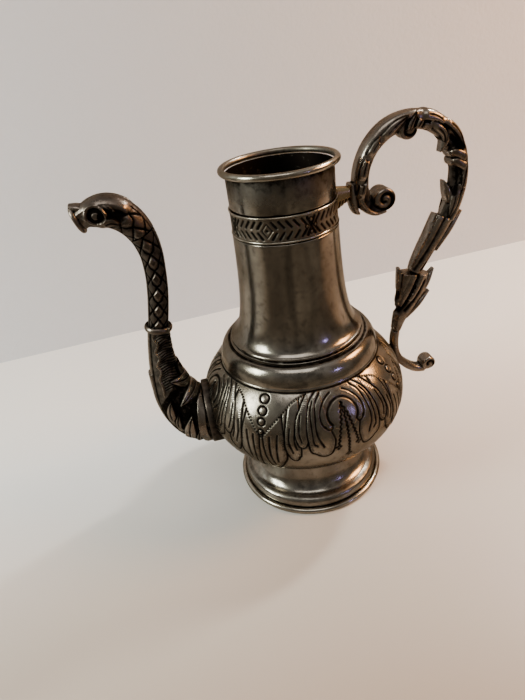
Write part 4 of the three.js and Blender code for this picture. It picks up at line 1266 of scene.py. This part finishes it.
def head_relief(relief, cap):
    """The bird's eye, brow, feathers and cheek, drawn in the side view; cap is 1 on its smooth crown."""
    relief.height -= 0.35 * MM
    relief.dark += 0.3
    back = relief.near(mm_line([(-84.5, 190.5), (-79, 191.5), (-74, 189)]), 5.5 * MM)[0]
    relief.height[back] -= 0.5 * MM
    relief.dark[back] = 0.9
    relief.leaf([(-90, 200.3), (-82.5, 199.8), (-76.2, 192.6)], 2.1, 0.9, 0.3)
    relief.leaf([(-93.5, 197.6), (-88, 198.4), (-80.2, 192.6)], 2.0, 0.8, 0.3)
    relief.leaf([(-88.6, 187.2), (-84, 188.4), (-78.4, 185.6)], 2.2, 0.8, 0.3)
    relief.groove(mm_line([(-72, 188.2), (-77, 188.9), (-80, 187)]), 0.8 * MM, 0.5 * MM)
    crown = cap > 0
    relief.height[crown] = np.maximum(relief.height[crown], 0.85 * MM * cap[crown])
    relief.dark[crown] *= 1 - cap[crown]
    brow = [(-95.6, 191.5), (-94.2, 196), (-90.2, 197.6), (-87, 195.4), (-85.4, 191.6)]
    relief.ridge(mm_line(brow), 1.0 * MM, 0.5 * MM)
    eye = (-90.4 * MM, 192.4 * MM)
    close, off, _, _ = relief.near([eye, eye], 5.2 * MM)
    socket = smoothstep(4.3, 3.8, off / MM)
    rim = np.exp(-(((off / MM - 4.6) / 0.45) ** 2))
    pupil = smoothstep(2.1, 1.5, off / MM)
    floor = relief.height[close] * (1 - socket) - 0.9 * MM * socket
    relief.height[close] = floor + (0.3 * rim + 0.5 * pupil) * MM
    relief.dark[close] = np.maximum(relief.dark[close] * (1 - rim), socket * (1 - 0.92 * pupil))


def beak_rim():
    """The open beak's rim: a wire-like oval from its top to the point of its lower lip."""
    top, point = (np.array([x, 0, z]) for x, z in BEAK_RIM_ENDS)
    centre, reach = (top + point) / 2, (top - point) / 2
    face = np.cross(reach, [0, 1.0, 0]) / np.linalg.norm(reach)
    turn = np.linspace(0, 2 * math.pi, 72, endpoint=False)[:, None, None]
    around = np.linspace(0, 2 * math.pi, 20, endpoint=False)[None, :, None]
    across = np.array([0, BEAK_RIM_HALF_WIDTH, 0])
    path = centre + reach * np.cos(turn) + across * np.sin(turn)
    spoke = path - centre
    spoke = spoke / np.linalg.norm(spoke, axis=-1, keepdims=True)
    rows = path + BEAK_RIM_RADIUS * (spoke * np.cos(around) + face * np.sin(around))
    places, faces = skin(rows, loop=True)
    return places, faces, np.zeros(len(places))


def spout_head():
    """The bird's head, modelled whole and then cut along the pot's middle plane."""
    angles = np.linspace(0, 2 * math.pi, 168, endpoint=False)
    low = spout_stem.station_length[HEAD_STATION] + SPOUT_JOINT_GAP
    keep = spout_stem.length >= low
    outer = spout_stem.grid(angles)[keep]
    inner = spout_stem.grid(angles, inset=SPOUT_WALL)[keep]
    length = spout_stem.length[keep]
    degrees = np.degrees(np.minimum(angles, 2 * math.pi - angles))
    crest = spout_stem.station_length[HEAD_STATION + 1] + 1.2 * MM
    cap = smoothstep(112, 128, degrees)[None, :] * (length > crest)[:, None]
    side = Relief(outer[..., 0], outer[..., 2], 1.0)
    head_relief(side, cap)
    scale = spout_stem.depth[keep][:, None] * math.pi / 180
    lattice = Relief(degrees[None, :], length[:, None], scale)
    lattice.dark += 0.42
    scales(lattice, low + 0.2 * SCALE_PITCH, low + 0.2 * SCALE_PITCH)
    low_part = smoothstep(crest + 3 * MM, crest - 1 * MM, length)[:, None]
    height = side.height * (1 - low_part) + (lattice.height - 0.25 * MM) * low_part
    middle = spout_stem.middle[keep]
    outer = outer + outward(outer, middle, True) * (height * np.sin(np.radians(degrees)) ** 0.3)[..., None]
    dark = side.dark * (1 - low_part) + lattice.dark * low_part
    places, faces = skin(np.concatenate([outer, inner[::-1]]), loop=True)
    pipe = (places, faces, np.append(dark.ravel(), np.ones(dark.size)))
    parts = [pipe, beak_rim(), spur(*BEAK_TOP)]
    mesh = cast_mesh("spout_head", parts, 0.2 * MM, soften=1)
    names = ["spout_head_left", "spout_head_right"]
    for name, half in zip(names, halves(mesh, [n + "_cast" for n in names])):
        piece(half, [name], CAST)


# ---- Handle ----
SCROLL_ORIGIN = (0.0414, 0.18043)
CUP_ORIGIN = (0.06147, 0.0765)
HANDLE_WIDTH = 5.6
SCROLL_STATIONS = [
    (12.4, -12.4, 1.9), (7, -12, 3.2), (1.9, -7.4, 4.0), (0, 0.3, 4.2), (1, 9.8, 4.2),
    (5.7, 19.3, 4.4), (14, 26.3, 4.7), (24.6, 29, 4.7), (35.2, 27.3, 4.7), (44.9, 21.3, 4.7),
    (51.2, 12.3, 4.7), (53.7, 1.8, 4.7), (53.4, -8.7, 4.7), (51, -18, 4.5), (48.2, -24.4, 4.3),
]
HANDLE_VOXEL = 0.3 * MM


def scroll_relief(relief):
    """The carved leaves on the arch's sides: its outer third is smooth, the rest is cut back round them."""
    carved = smoothstep(0.25, 0.05, relief.outer_side) * smoothstep(-0.995, -0.93, relief.outer_side)
    relief.height -= 1.25 * MM * carved
    relief.dark += 0.65 * carved
    for points, half_width, lift in (
        ([(39.5, 176), (41.4, 184), (43, 190)], 2.2, 1.1),
        ([(40.4, 185), (42.2, 192), (46.2, 200.6)], 2.1, 1.2),
        ([(44.3, 196), (49, 202.2), (56, 207)], 2.1, 1.2),
        ([(51.5, 203.2), (57.5, 208.2), (65, 212.2)], 2.2, 1.2),
        ([(65, 204.5), (66.2, 208.5), (69.4, 213.2)], 1.7, 0.9),
        ([(69, 205), (71, 208.6), (74.6, 211.8)], 1.7, 1.0),
        ([(72, 211.8), (79, 209.4), (85.8, 204.6)], 2.8, 0.9),
        ([(74.5, 205.5), (80, 204), (84.5, 199.5)], 1.6, 0.6),
        ([(78, 206), (83.5, 201), (86, 195)], 1.9, 0.5),
        ([(84, 207.5), (91, 201), (96, 192)], 1.7, 0.9),
        ([(97, 186), (96.4, 177), (94.2, 167)], 1.6, 0.8),
        ([(88, 184), (87.2, 177), (89.4, 166)], 1.8, 0.6),
        ([(93, 172), (91.5, 164), (88.5, 156)], 2.4, 0.5),
    ):
        relief.leaf(points, half_width, lift)
    relief.groove(mm_line([(87.6, 198.6), (91, 195.6), (93.4, 192.4)]), 3.4 * MM, 1.1 * MM)
    relief.groove(mm_line([(91.8, 182.6), (92.4, 177), (91.6, 170)]), 2.6 * MM, 0.9 * MM)
    for points in ([(84, 187), (90.2, 190.6), (97, 187.4)], [(84.5, 182.8), (90.5, 186), (97, 182.6)]):
        relief.ridge(mm_line(points), 1.9 * MM, 1.0 * MM)


def handle_upper_scroll():
    stations = [(x, z, depth, HANDLE_WIDTH) for x, z, depth in SCROLL_STATIONS]
    strap = bar(Stem(SCROLL_ORIGIN, stations, 0.25 * MM), 150, 0.7, scroll_relief)
    volute_centre = (SCROLL_ORIGIN[0] + 11.5 * MM, SCROLL_ORIGIN[1] - 6.9 * MM)
    parts = [
        strap,
        scroll_disc(volute_centre, 5.9 * MM, 5.9 * MM, 1.15, -150, 1.5 * MM),
        scroll_disc((0.0657, 0.2054), 4.9 * MM, 4.2 * MM, -0.9, 60, 1.2 * MM),
        spur((36, 184, 1.6, 4), (36.6, 176, 2.4, 4.4), (38.2, 169.5, 1.8, 3.6), (40.6, 167, 0.6, 1.4)),
        spur((86, 202, 1.6, 4), (86.4, 197, 2.4, 4.2), (84, 191.4, 0.6, 2.4)),
        spur((90.4, 165, 1.6, 4), (89.4, 171, 2.2, 4.2), (87, 176.6, 0.6, 2.4)),
    ]
    mesh = cast_mesh("handle_upper_scroll_cast", parts, HANDLE_VOXEL)
    piece(mesh, ["handle_upper_scroll"], CAST_SMOOTH)


def middle_leaf_relief(relief):
    """Two folds and the vein between them."""
    for points in ([(87.5, 158), (79.5, 143), (71, 130)], [(92, 154), (84.5, 141.5), (75, 129)]):
        relief.groove(mm_line(points), 1.3 * MM, 0.8 * MM, 0.9)
    relief.ridge(mm_line([(84, 157), (76.5, 143), (69, 130.5)]), 1.2 * MM, 0.4 * MM)


def handle_middle_leaf():
    stations = [(88.2, 157.2, 6.2, 5.6), (84.2, 148.8, 5.6, 5.5)]
    stations += [(77.8, 137.6, 4.6, 5.0), (72.5, 127.6, 3.7, 4.5)]
    parts = [
        bar(Stem((0, 0), stations, 0.25 * MM), 96, 0.8, middle_leaf_relief),
        spur((80.6, 149, 1.6, 3.2), (82.2, 154.6, 1.5, 3.2), (83.2, 159.8, 0.7, 2.2)),
        spur((83.5, 139, 1.8, 4.2), (91.6, 149.6, 2.4, 3.6), (99.0, 158.6, 0.5, 1.8)),
    ]
    mesh = cast_mesh("handle_middle_leaf_cast", parts, HANDLE_VOXEL)
    piece(mesh, ["handle_middle_leaf"], CAST_SMOOTH)


def cup_relief(relief):
    """The folds between the cup's lobes, and a vein on each lobe."""
    relief.groove(mm_line([(73.4, 128), (69, 116), (62, 104.5)]), 2.6 * MM, 1.5 * MM)
    relief.groove(mm_line([(77.6, 122), (72, 113), (65.5, 105)]), 1.7 * MM, 1.0 * MM)
    relief.ridge(mm_line([(71.4, 128), (67, 118), (62, 108)]), 1.4 * MM, 0.5 * MM)
    relief.ridge(mm_line([(76.6, 126), (72.5, 118), (68, 111)]), 1.3 * MM, 0.5 * MM)
    relief.groove(mm_line([(64.4, 130), (62.8, 118), (60.6, 104)]), 0.9 * MM, 0.5 * MM)


def handle_leaf_cup():
    stations = [
        (10.8, 50.5, 9.0, 5.6),
        (9.2, 41.5, 8.6, 5.6),
        (6.2, 31.5, 6.0, 5.0),
        (2.6, 22.5, 3.9, 4),
        (0.4, 14.7, 2.6, 3.4),
    ]
    parts = [
        bar(Stem(CUP_ORIGIN, stations, 0.25 * MM), 110, 0.8, cup_relief),
        spur((64, 118, 2.2, 3.0), (63.8, 125.6, 2.1, 2.8), (62.8, 131.6, 0.9, 2.0)),
        spur((74, 112, 2.6, 4.4), (79.6, 119.8, 2.5, 3.8), (84.4, 127.4, 0.6, 1.6)),
        spur((67, 100, 2.2, 4.0), (75, 106.8, 2.2, 3.6), (82.4, 113.6, 0.6, 1.6)),
    ]
    mesh = cast_mesh("handle_leaf_cup_cast", parts, HANDLE_VOXEL)
    piece(mesh, ["handle_leaf_cup"], CAST_SMOOTH)


def handle_lower_scroll():
    stations = [
        (0.2, 13.9, 2.4, 3.2),
        (-0.5, 6.8, 2.4, 3.6),
        (0, 0, 2.4, 4),
        (2.8, -7, 2.4, 4),
        (7.8, -12.8, 2.6, 4),
        (14, -17, 2.7, 4),
        (19.6, -18.2, 2.6, 4),
    ]
    centre = (CUP_ORIGIN[0] + 21.9 * MM, CUP_ORIGIN[1] - 14.6 * MM)
    parts = [
        bar(Stem(CUP_ORIGIN, stations, 0.25 * MM), 80, 0.8),
        scroll_disc(centre, 4.6 * MM, 4.4 * MM, 0.8, -100, 0.8 * MM),
    ]
    mesh = cast_mesh("handle_lower_scroll_cast", parts, HANDLE_VOXEL)
    piece(mesh, ["handle_lower_scroll"], CAST_SMOOTH)


def bracket_relief(relief):
    """Five slanting cuts under the lug."""
    for i in range(5):
        x = 28.2 + 1.7 * i
        relief.groove([(x * MM, 171.5 * MM), ((x + 0.9) * MM, (176.4 + 0.25 * i) * MM)], 0.9 * MM, 0.4 * MM)


def handle_bracket():
    stations = [(25.4, 177.6, 6.8, 4.0), (31, 178.7, 4.8, 3.5), (36.2, 179.8, 2.9, 3.0)]
    strap = bar(Stem((0, 0), stations, 0.25 * MM), 90, 0.7, bracket_relief)
    mesh = cast_mesh("handle_bracket_cast", [strap], 0.25 * MM)
    piece(mesh, ["handle_bracket"], CAST_WARM)


spout_flange()
spout_elbow()
spout_knop_ring()
spout_neck()
spout_head()
handle_bracket()
handle_upper_scroll()
handle_middle_leaf()
handle_leaf_cup()
handle_lower_scroll()
foot_edge_wire()
foot_flare()
bowl()
shoulder_collar()
neck()
ornament_band()
wire("band_lower_wire", steps=224, sides=12, inner_dark=1.0)
wire("band_upper_wire", steps=224, sides=12, inner_dark=1.0)
wire("mouth_wire", steps=256, sides=28, inner_dark=0.5)


# ---- Stage, light and camera ----
WALL_PLACE = Vector((0.05, 0.2555, 0.0))
WALL_TURN = math.radians(2.8)
WALL_HEIGHT = 1.6
STAGE_REACH = 2
# The table's paint turns darker and warmer towards its front: painted shade, standing in for light that
# falls off there.
TABLE_COLOUR, TABLE_PAINTED_SHADE_COLOUR = (0.8, 0.785, 0.76), (0.36, 0.29, 0.225)
WALL_COLOUR = (0.66, 0.68, 0.73)
TABLE_FRONT = -0.19
# Colour of a dim room that glows in the table and wall only where the metal reflects them: a painted
# reflection.
PAINTED_ROOM_REFLECTION_COLOUR = (0.16, 0.13, 0.095)
# The Y range over which that painted shade comes in on the table.
PAINTED_SHADE_RANGE = (0.06, -0.17)


def plain_material(name, colour, roughness, grain, painted_shade_colour=None):
    """Paint with a fine grain; the last argument is painted shade, darkening it towards the table's front.
    """
    material = bpy.data.materials.new(name)
    material.use_nodes = True
    tree = material.node_tree
    shader = tree.nodes["Principled BSDF"]
    place = tree.nodes.new("ShaderNodeTexCoord").outputs["Object"]
    cloud = noise(tree, place, 3.0, 4.0)
    shade = mix_colour(tree, cloud, (*(0.97 * c for c in colour), 1), (*colour, 1))
    # Painted shade: the paint darkens towards the front of the table.
    if painted_shade_colour:
        parts = tree.nodes.new("ShaderNodeSeparateXYZ")
        link(tree, place, parts.inputs["Vector"])
        painted_shade_share = map_range(tree, parts.outputs["Y"], *PAINTED_SHADE_RANGE, 0.0, 1.0)
        shade = mix_colour(tree, painted_shade_share, shade, (*painted_shade_colour, 1))
    link(tree, shade, shader.inputs["Base Color"])
    shader.inputs["Roughness"].default_value = roughness
    bump = value_node(tree, "ShaderNodeBump", Strength=0.5, Distance=0.001)
    link(tree, maths(tree, "MULTIPLY", noise(tree, place, 240.0, 3.0), grain), bump.inputs["Height"])
    link(tree, bump.outputs["Normal"], shader.inputs["Normal"])
    return material


def hide_from_behind(material):
    """The wall can't be seen from its back, so that the pot shows from every side."""
    tree = material.node_tree
    output = tree.nodes["Material Output"]
    surface = output.inputs["Surface"].links[0].from_socket
    mix = tree.nodes.new("ShaderNodeMixShader")
    clear = tree.nodes.new("ShaderNodeBsdfTransparent")
    facing = tree.nodes.new("ShaderNodeNewGeometry")
    link(tree, facing.outputs["Backfacing"], mix.inputs[0])
    link(tree, surface, mix.inputs[1])
    link(tree, clear.outputs["BSDF"], mix.inputs[2])
    link(tree, mix.outputs["Shader"], output.inputs["Surface"])


def dim_in_reflections(material, share, front=None):
    """In the metal's reflections the surface is dimmed by a share, and that share is filled with a dim room
    colour
    glowing in soft bands: a painted reflection. front gives the Y range over which the painted room takes
    over wholly, beyond the table."""
    tree = material.node_tree
    output = tree.nodes["Material Output"]
    surface = output.inputs["Surface"].links[0].from_socket
    factor = tree.nodes.new("ShaderNodeLightPath").outputs["Is Glossy Ray"]
    if front:
        parts = tree.nodes.new("ShaderNodeSeparateXYZ")
        link(tree, tree.nodes.new("ShaderNodeTexCoord").outputs["Object"], parts.inputs["Vector"])
        factor = maths(tree, "MULTIPLY", factor, map_range(tree, parts.outputs["Y"], *front, share, 1.0))
    else:
        factor = maths(tree, "MULTIPLY", factor, share)
    place = tree.nodes.new("ShaderNodeTexCoord").outputs["Object"]
    bands = map_range(tree, noise(tree, place, 1.0, 2.0, (11.0, 0.8, 1.0)), 0.38, 0.62, 0.35, 1.7)
    # Painted reflection: a glowing room colour that only glossy rays see.
    room = tree.nodes.new("ShaderNodeEmission")
    room.inputs["Color"].default_value = (*PAINTED_ROOM_REFLECTION_COLOUR, 1)
    link(tree, bands, room.inputs["Strength"])
    mix = tree.nodes.new("ShaderNodeMixShader")
    link(tree, factor, mix.inputs[0])
    link(tree, surface, mix.inputs[1])
    link(tree, room.outputs["Emission"], mix.inputs[2])
    link(tree, mix.outputs["Shader"], output.inputs["Surface"])


def sheet(name, corners, material):
    """One flat face of the surroundings."""
    mesh = bpy.data.meshes.new(name)
    mesh.from_pydata(corners, [], [(0, 1, 2, 3)])
    mesh.materials.append(material)
    made = bpy.data.objects.new(name, mesh)
    bpy.context.scene.collection.objects.link(made)
    return made


def area_light(name, azimuth, elevation, distance, size, energy, colour):
    """A soft panel that faces the pot. Azimuth 0 is in front of the pot and 90 is on its handle side."""
    light = bpy.data.lights.new(name, "AREA")
    light.shape = "RECTANGLE"
    light.size, light.size_y = size
    light.energy = energy
    light.color = colour
    made = bpy.data.objects.new(name, light)
    bpy.context.scene.collection.objects.link(made)
    a, e = math.radians(azimuth), math.radians(elevation)
    way = Vector((math.sin(a) * math.cos(e), -math.cos(a) * math.cos(e), math.sin(e)))
    target = (cad_low + cad_high) / 2
    made.location = target + way * distance
    made.rotation_mode = "QUATERNION"
    made.rotation_quaternion = way.to_track_quat("Z", "Y")
    return made


def world():
    """A dim room, warmer below and with soft upright bands that the metal mirrors."""
    made = bpy.data.worlds.new("room")
    bpy.context.scene.world = made
    made.use_nodes = True
    tree = made.node_tree
    background = tree.nodes["Background"]
    way = tree.nodes.new("ShaderNodeTexCoord").outputs["Generated"]
    parts = tree.nodes.new("ShaderNodeSeparateXYZ")
    link(tree, way, parts.inputs["Vector"])
    height = map_range(tree, parts.outputs["Z"], -1.0, 1.0, 0.0, 1.0)
    colour = ramp(
        tree,
        height,
        [
            (0.0, (0.12, 0.1, 0.076)),
            (0.5, (0.15, 0.128, 0.1)),
            (0.64, (0.16, 0.145, 0.125)),
            (0.8, (0.2, 0.195, 0.185)),
            (1.0, (0.3, 0.295, 0.29)),
        ],
    )
    bands = map_range(tree, noise(tree, way, 1.0, 2.0, (3.2, 3.2, 0.2)), 0.35, 0.62, 0.45, 1.9)
    shade = tree.nodes.new("ShaderNodeVectorMath")
    shade.operation = "SCALE"
    link(tree, colour, shade.inputs[0])
    link(tree, bands, shade.inputs["Scale"])
    link(tree, shade.outputs["Vector"], background.inputs["Color"])
    background.inputs["Strength"].default_value = 1.0


def stage():
    # The table carries painted shade towards its front.
    table = plain_material("table_paint", TABLE_COLOUR, 0.42, 0.05, TABLE_PAINTED_SHADE_COLOUR)
    # Painted reflection: the metal sees the table dimmed and, past its front edge, a glowing room.
    dim_in_reflections(table, 0.5, (TABLE_FRONT, TABLE_FRONT - 0.03))
    reach = STAGE_REACH
    corners = [(-reach, -reach, 0), (reach, -reach, 0), (reach, reach, 0), (-reach, reach, 0)]
    sheet("table", corners, table)
    wall = plain_material("wall_paint", WALL_COLOUR, 0.8, 0.9)
    # Painted reflection: the metal sees the wall dimmed and partly swapped for a glowing room.
    dim_in_reflections(wall, 0.5)
    hide_from_behind(wall)
    along = Vector((math.cos(WALL_TURN), math.sin(WALL_TURN), 0)) * reach
    left, right = WALL_PLACE - along, WALL_PLACE + along
    top = Vector((0, 0, WALL_HEIGHT))
    sheet("wall", [left, right, right + top, left + top], wall)
    world()
    area_light("window", -80, 26, 0.9, (0.26, 0.4), 8.0, (0.93, 1.0, 0.92))
    area_light("lamp", 80, 33, 0.9, (0.3, 0.26), 9.0, (1.0, 0.5, 0.2))
    area_light("ceiling", -20, 66, 1.1, (0.7, 0.5), 3.0, (1.0, 0.97, 0.94))
    area_light("back", 116, 45, 0.95, (0.16, 0.16), 15.0, (1.0, 0.96, 0.92))
    area_light("screen", 38, 12, 0.9, (0.05, 0.05), 0.25, (0.4, 0.35, 1.0))


def camera():
    data = bpy.data.cameras.new("camera")
    data.sensor_width = SENSOR_LONG_SIDE
    data.lens = CAMERA_LENS
    data.clip_start, data.clip_end = 0.01, 20
    made = bpy.data.objects.new("camera", data)
    bpy.context.scene.collection.objects.link(made)
    ahead = Vector((math.sin(CAMERA_AZIMUTH), math.cos(CAMERA_AZIMUTH), 0))
    forward = ahead * math.cos(CAMERA_TILT) - Vector((0, 0, math.sin(CAMERA_TILT)))
    level = forward.cross(Vector((0, 0, 1))).normalized()
    right = Matrix.Rotation(CAMERA_ROLL, 3, forward) @ level
    up = right.cross(forward)
    turn = Matrix((right, up, -forward)).transposed().to_4x4()
    made.matrix_world = Matrix.Translation(CAMERA_PLACE) @ turn
    bpy.context.scene.camera = made


stage()
camera()
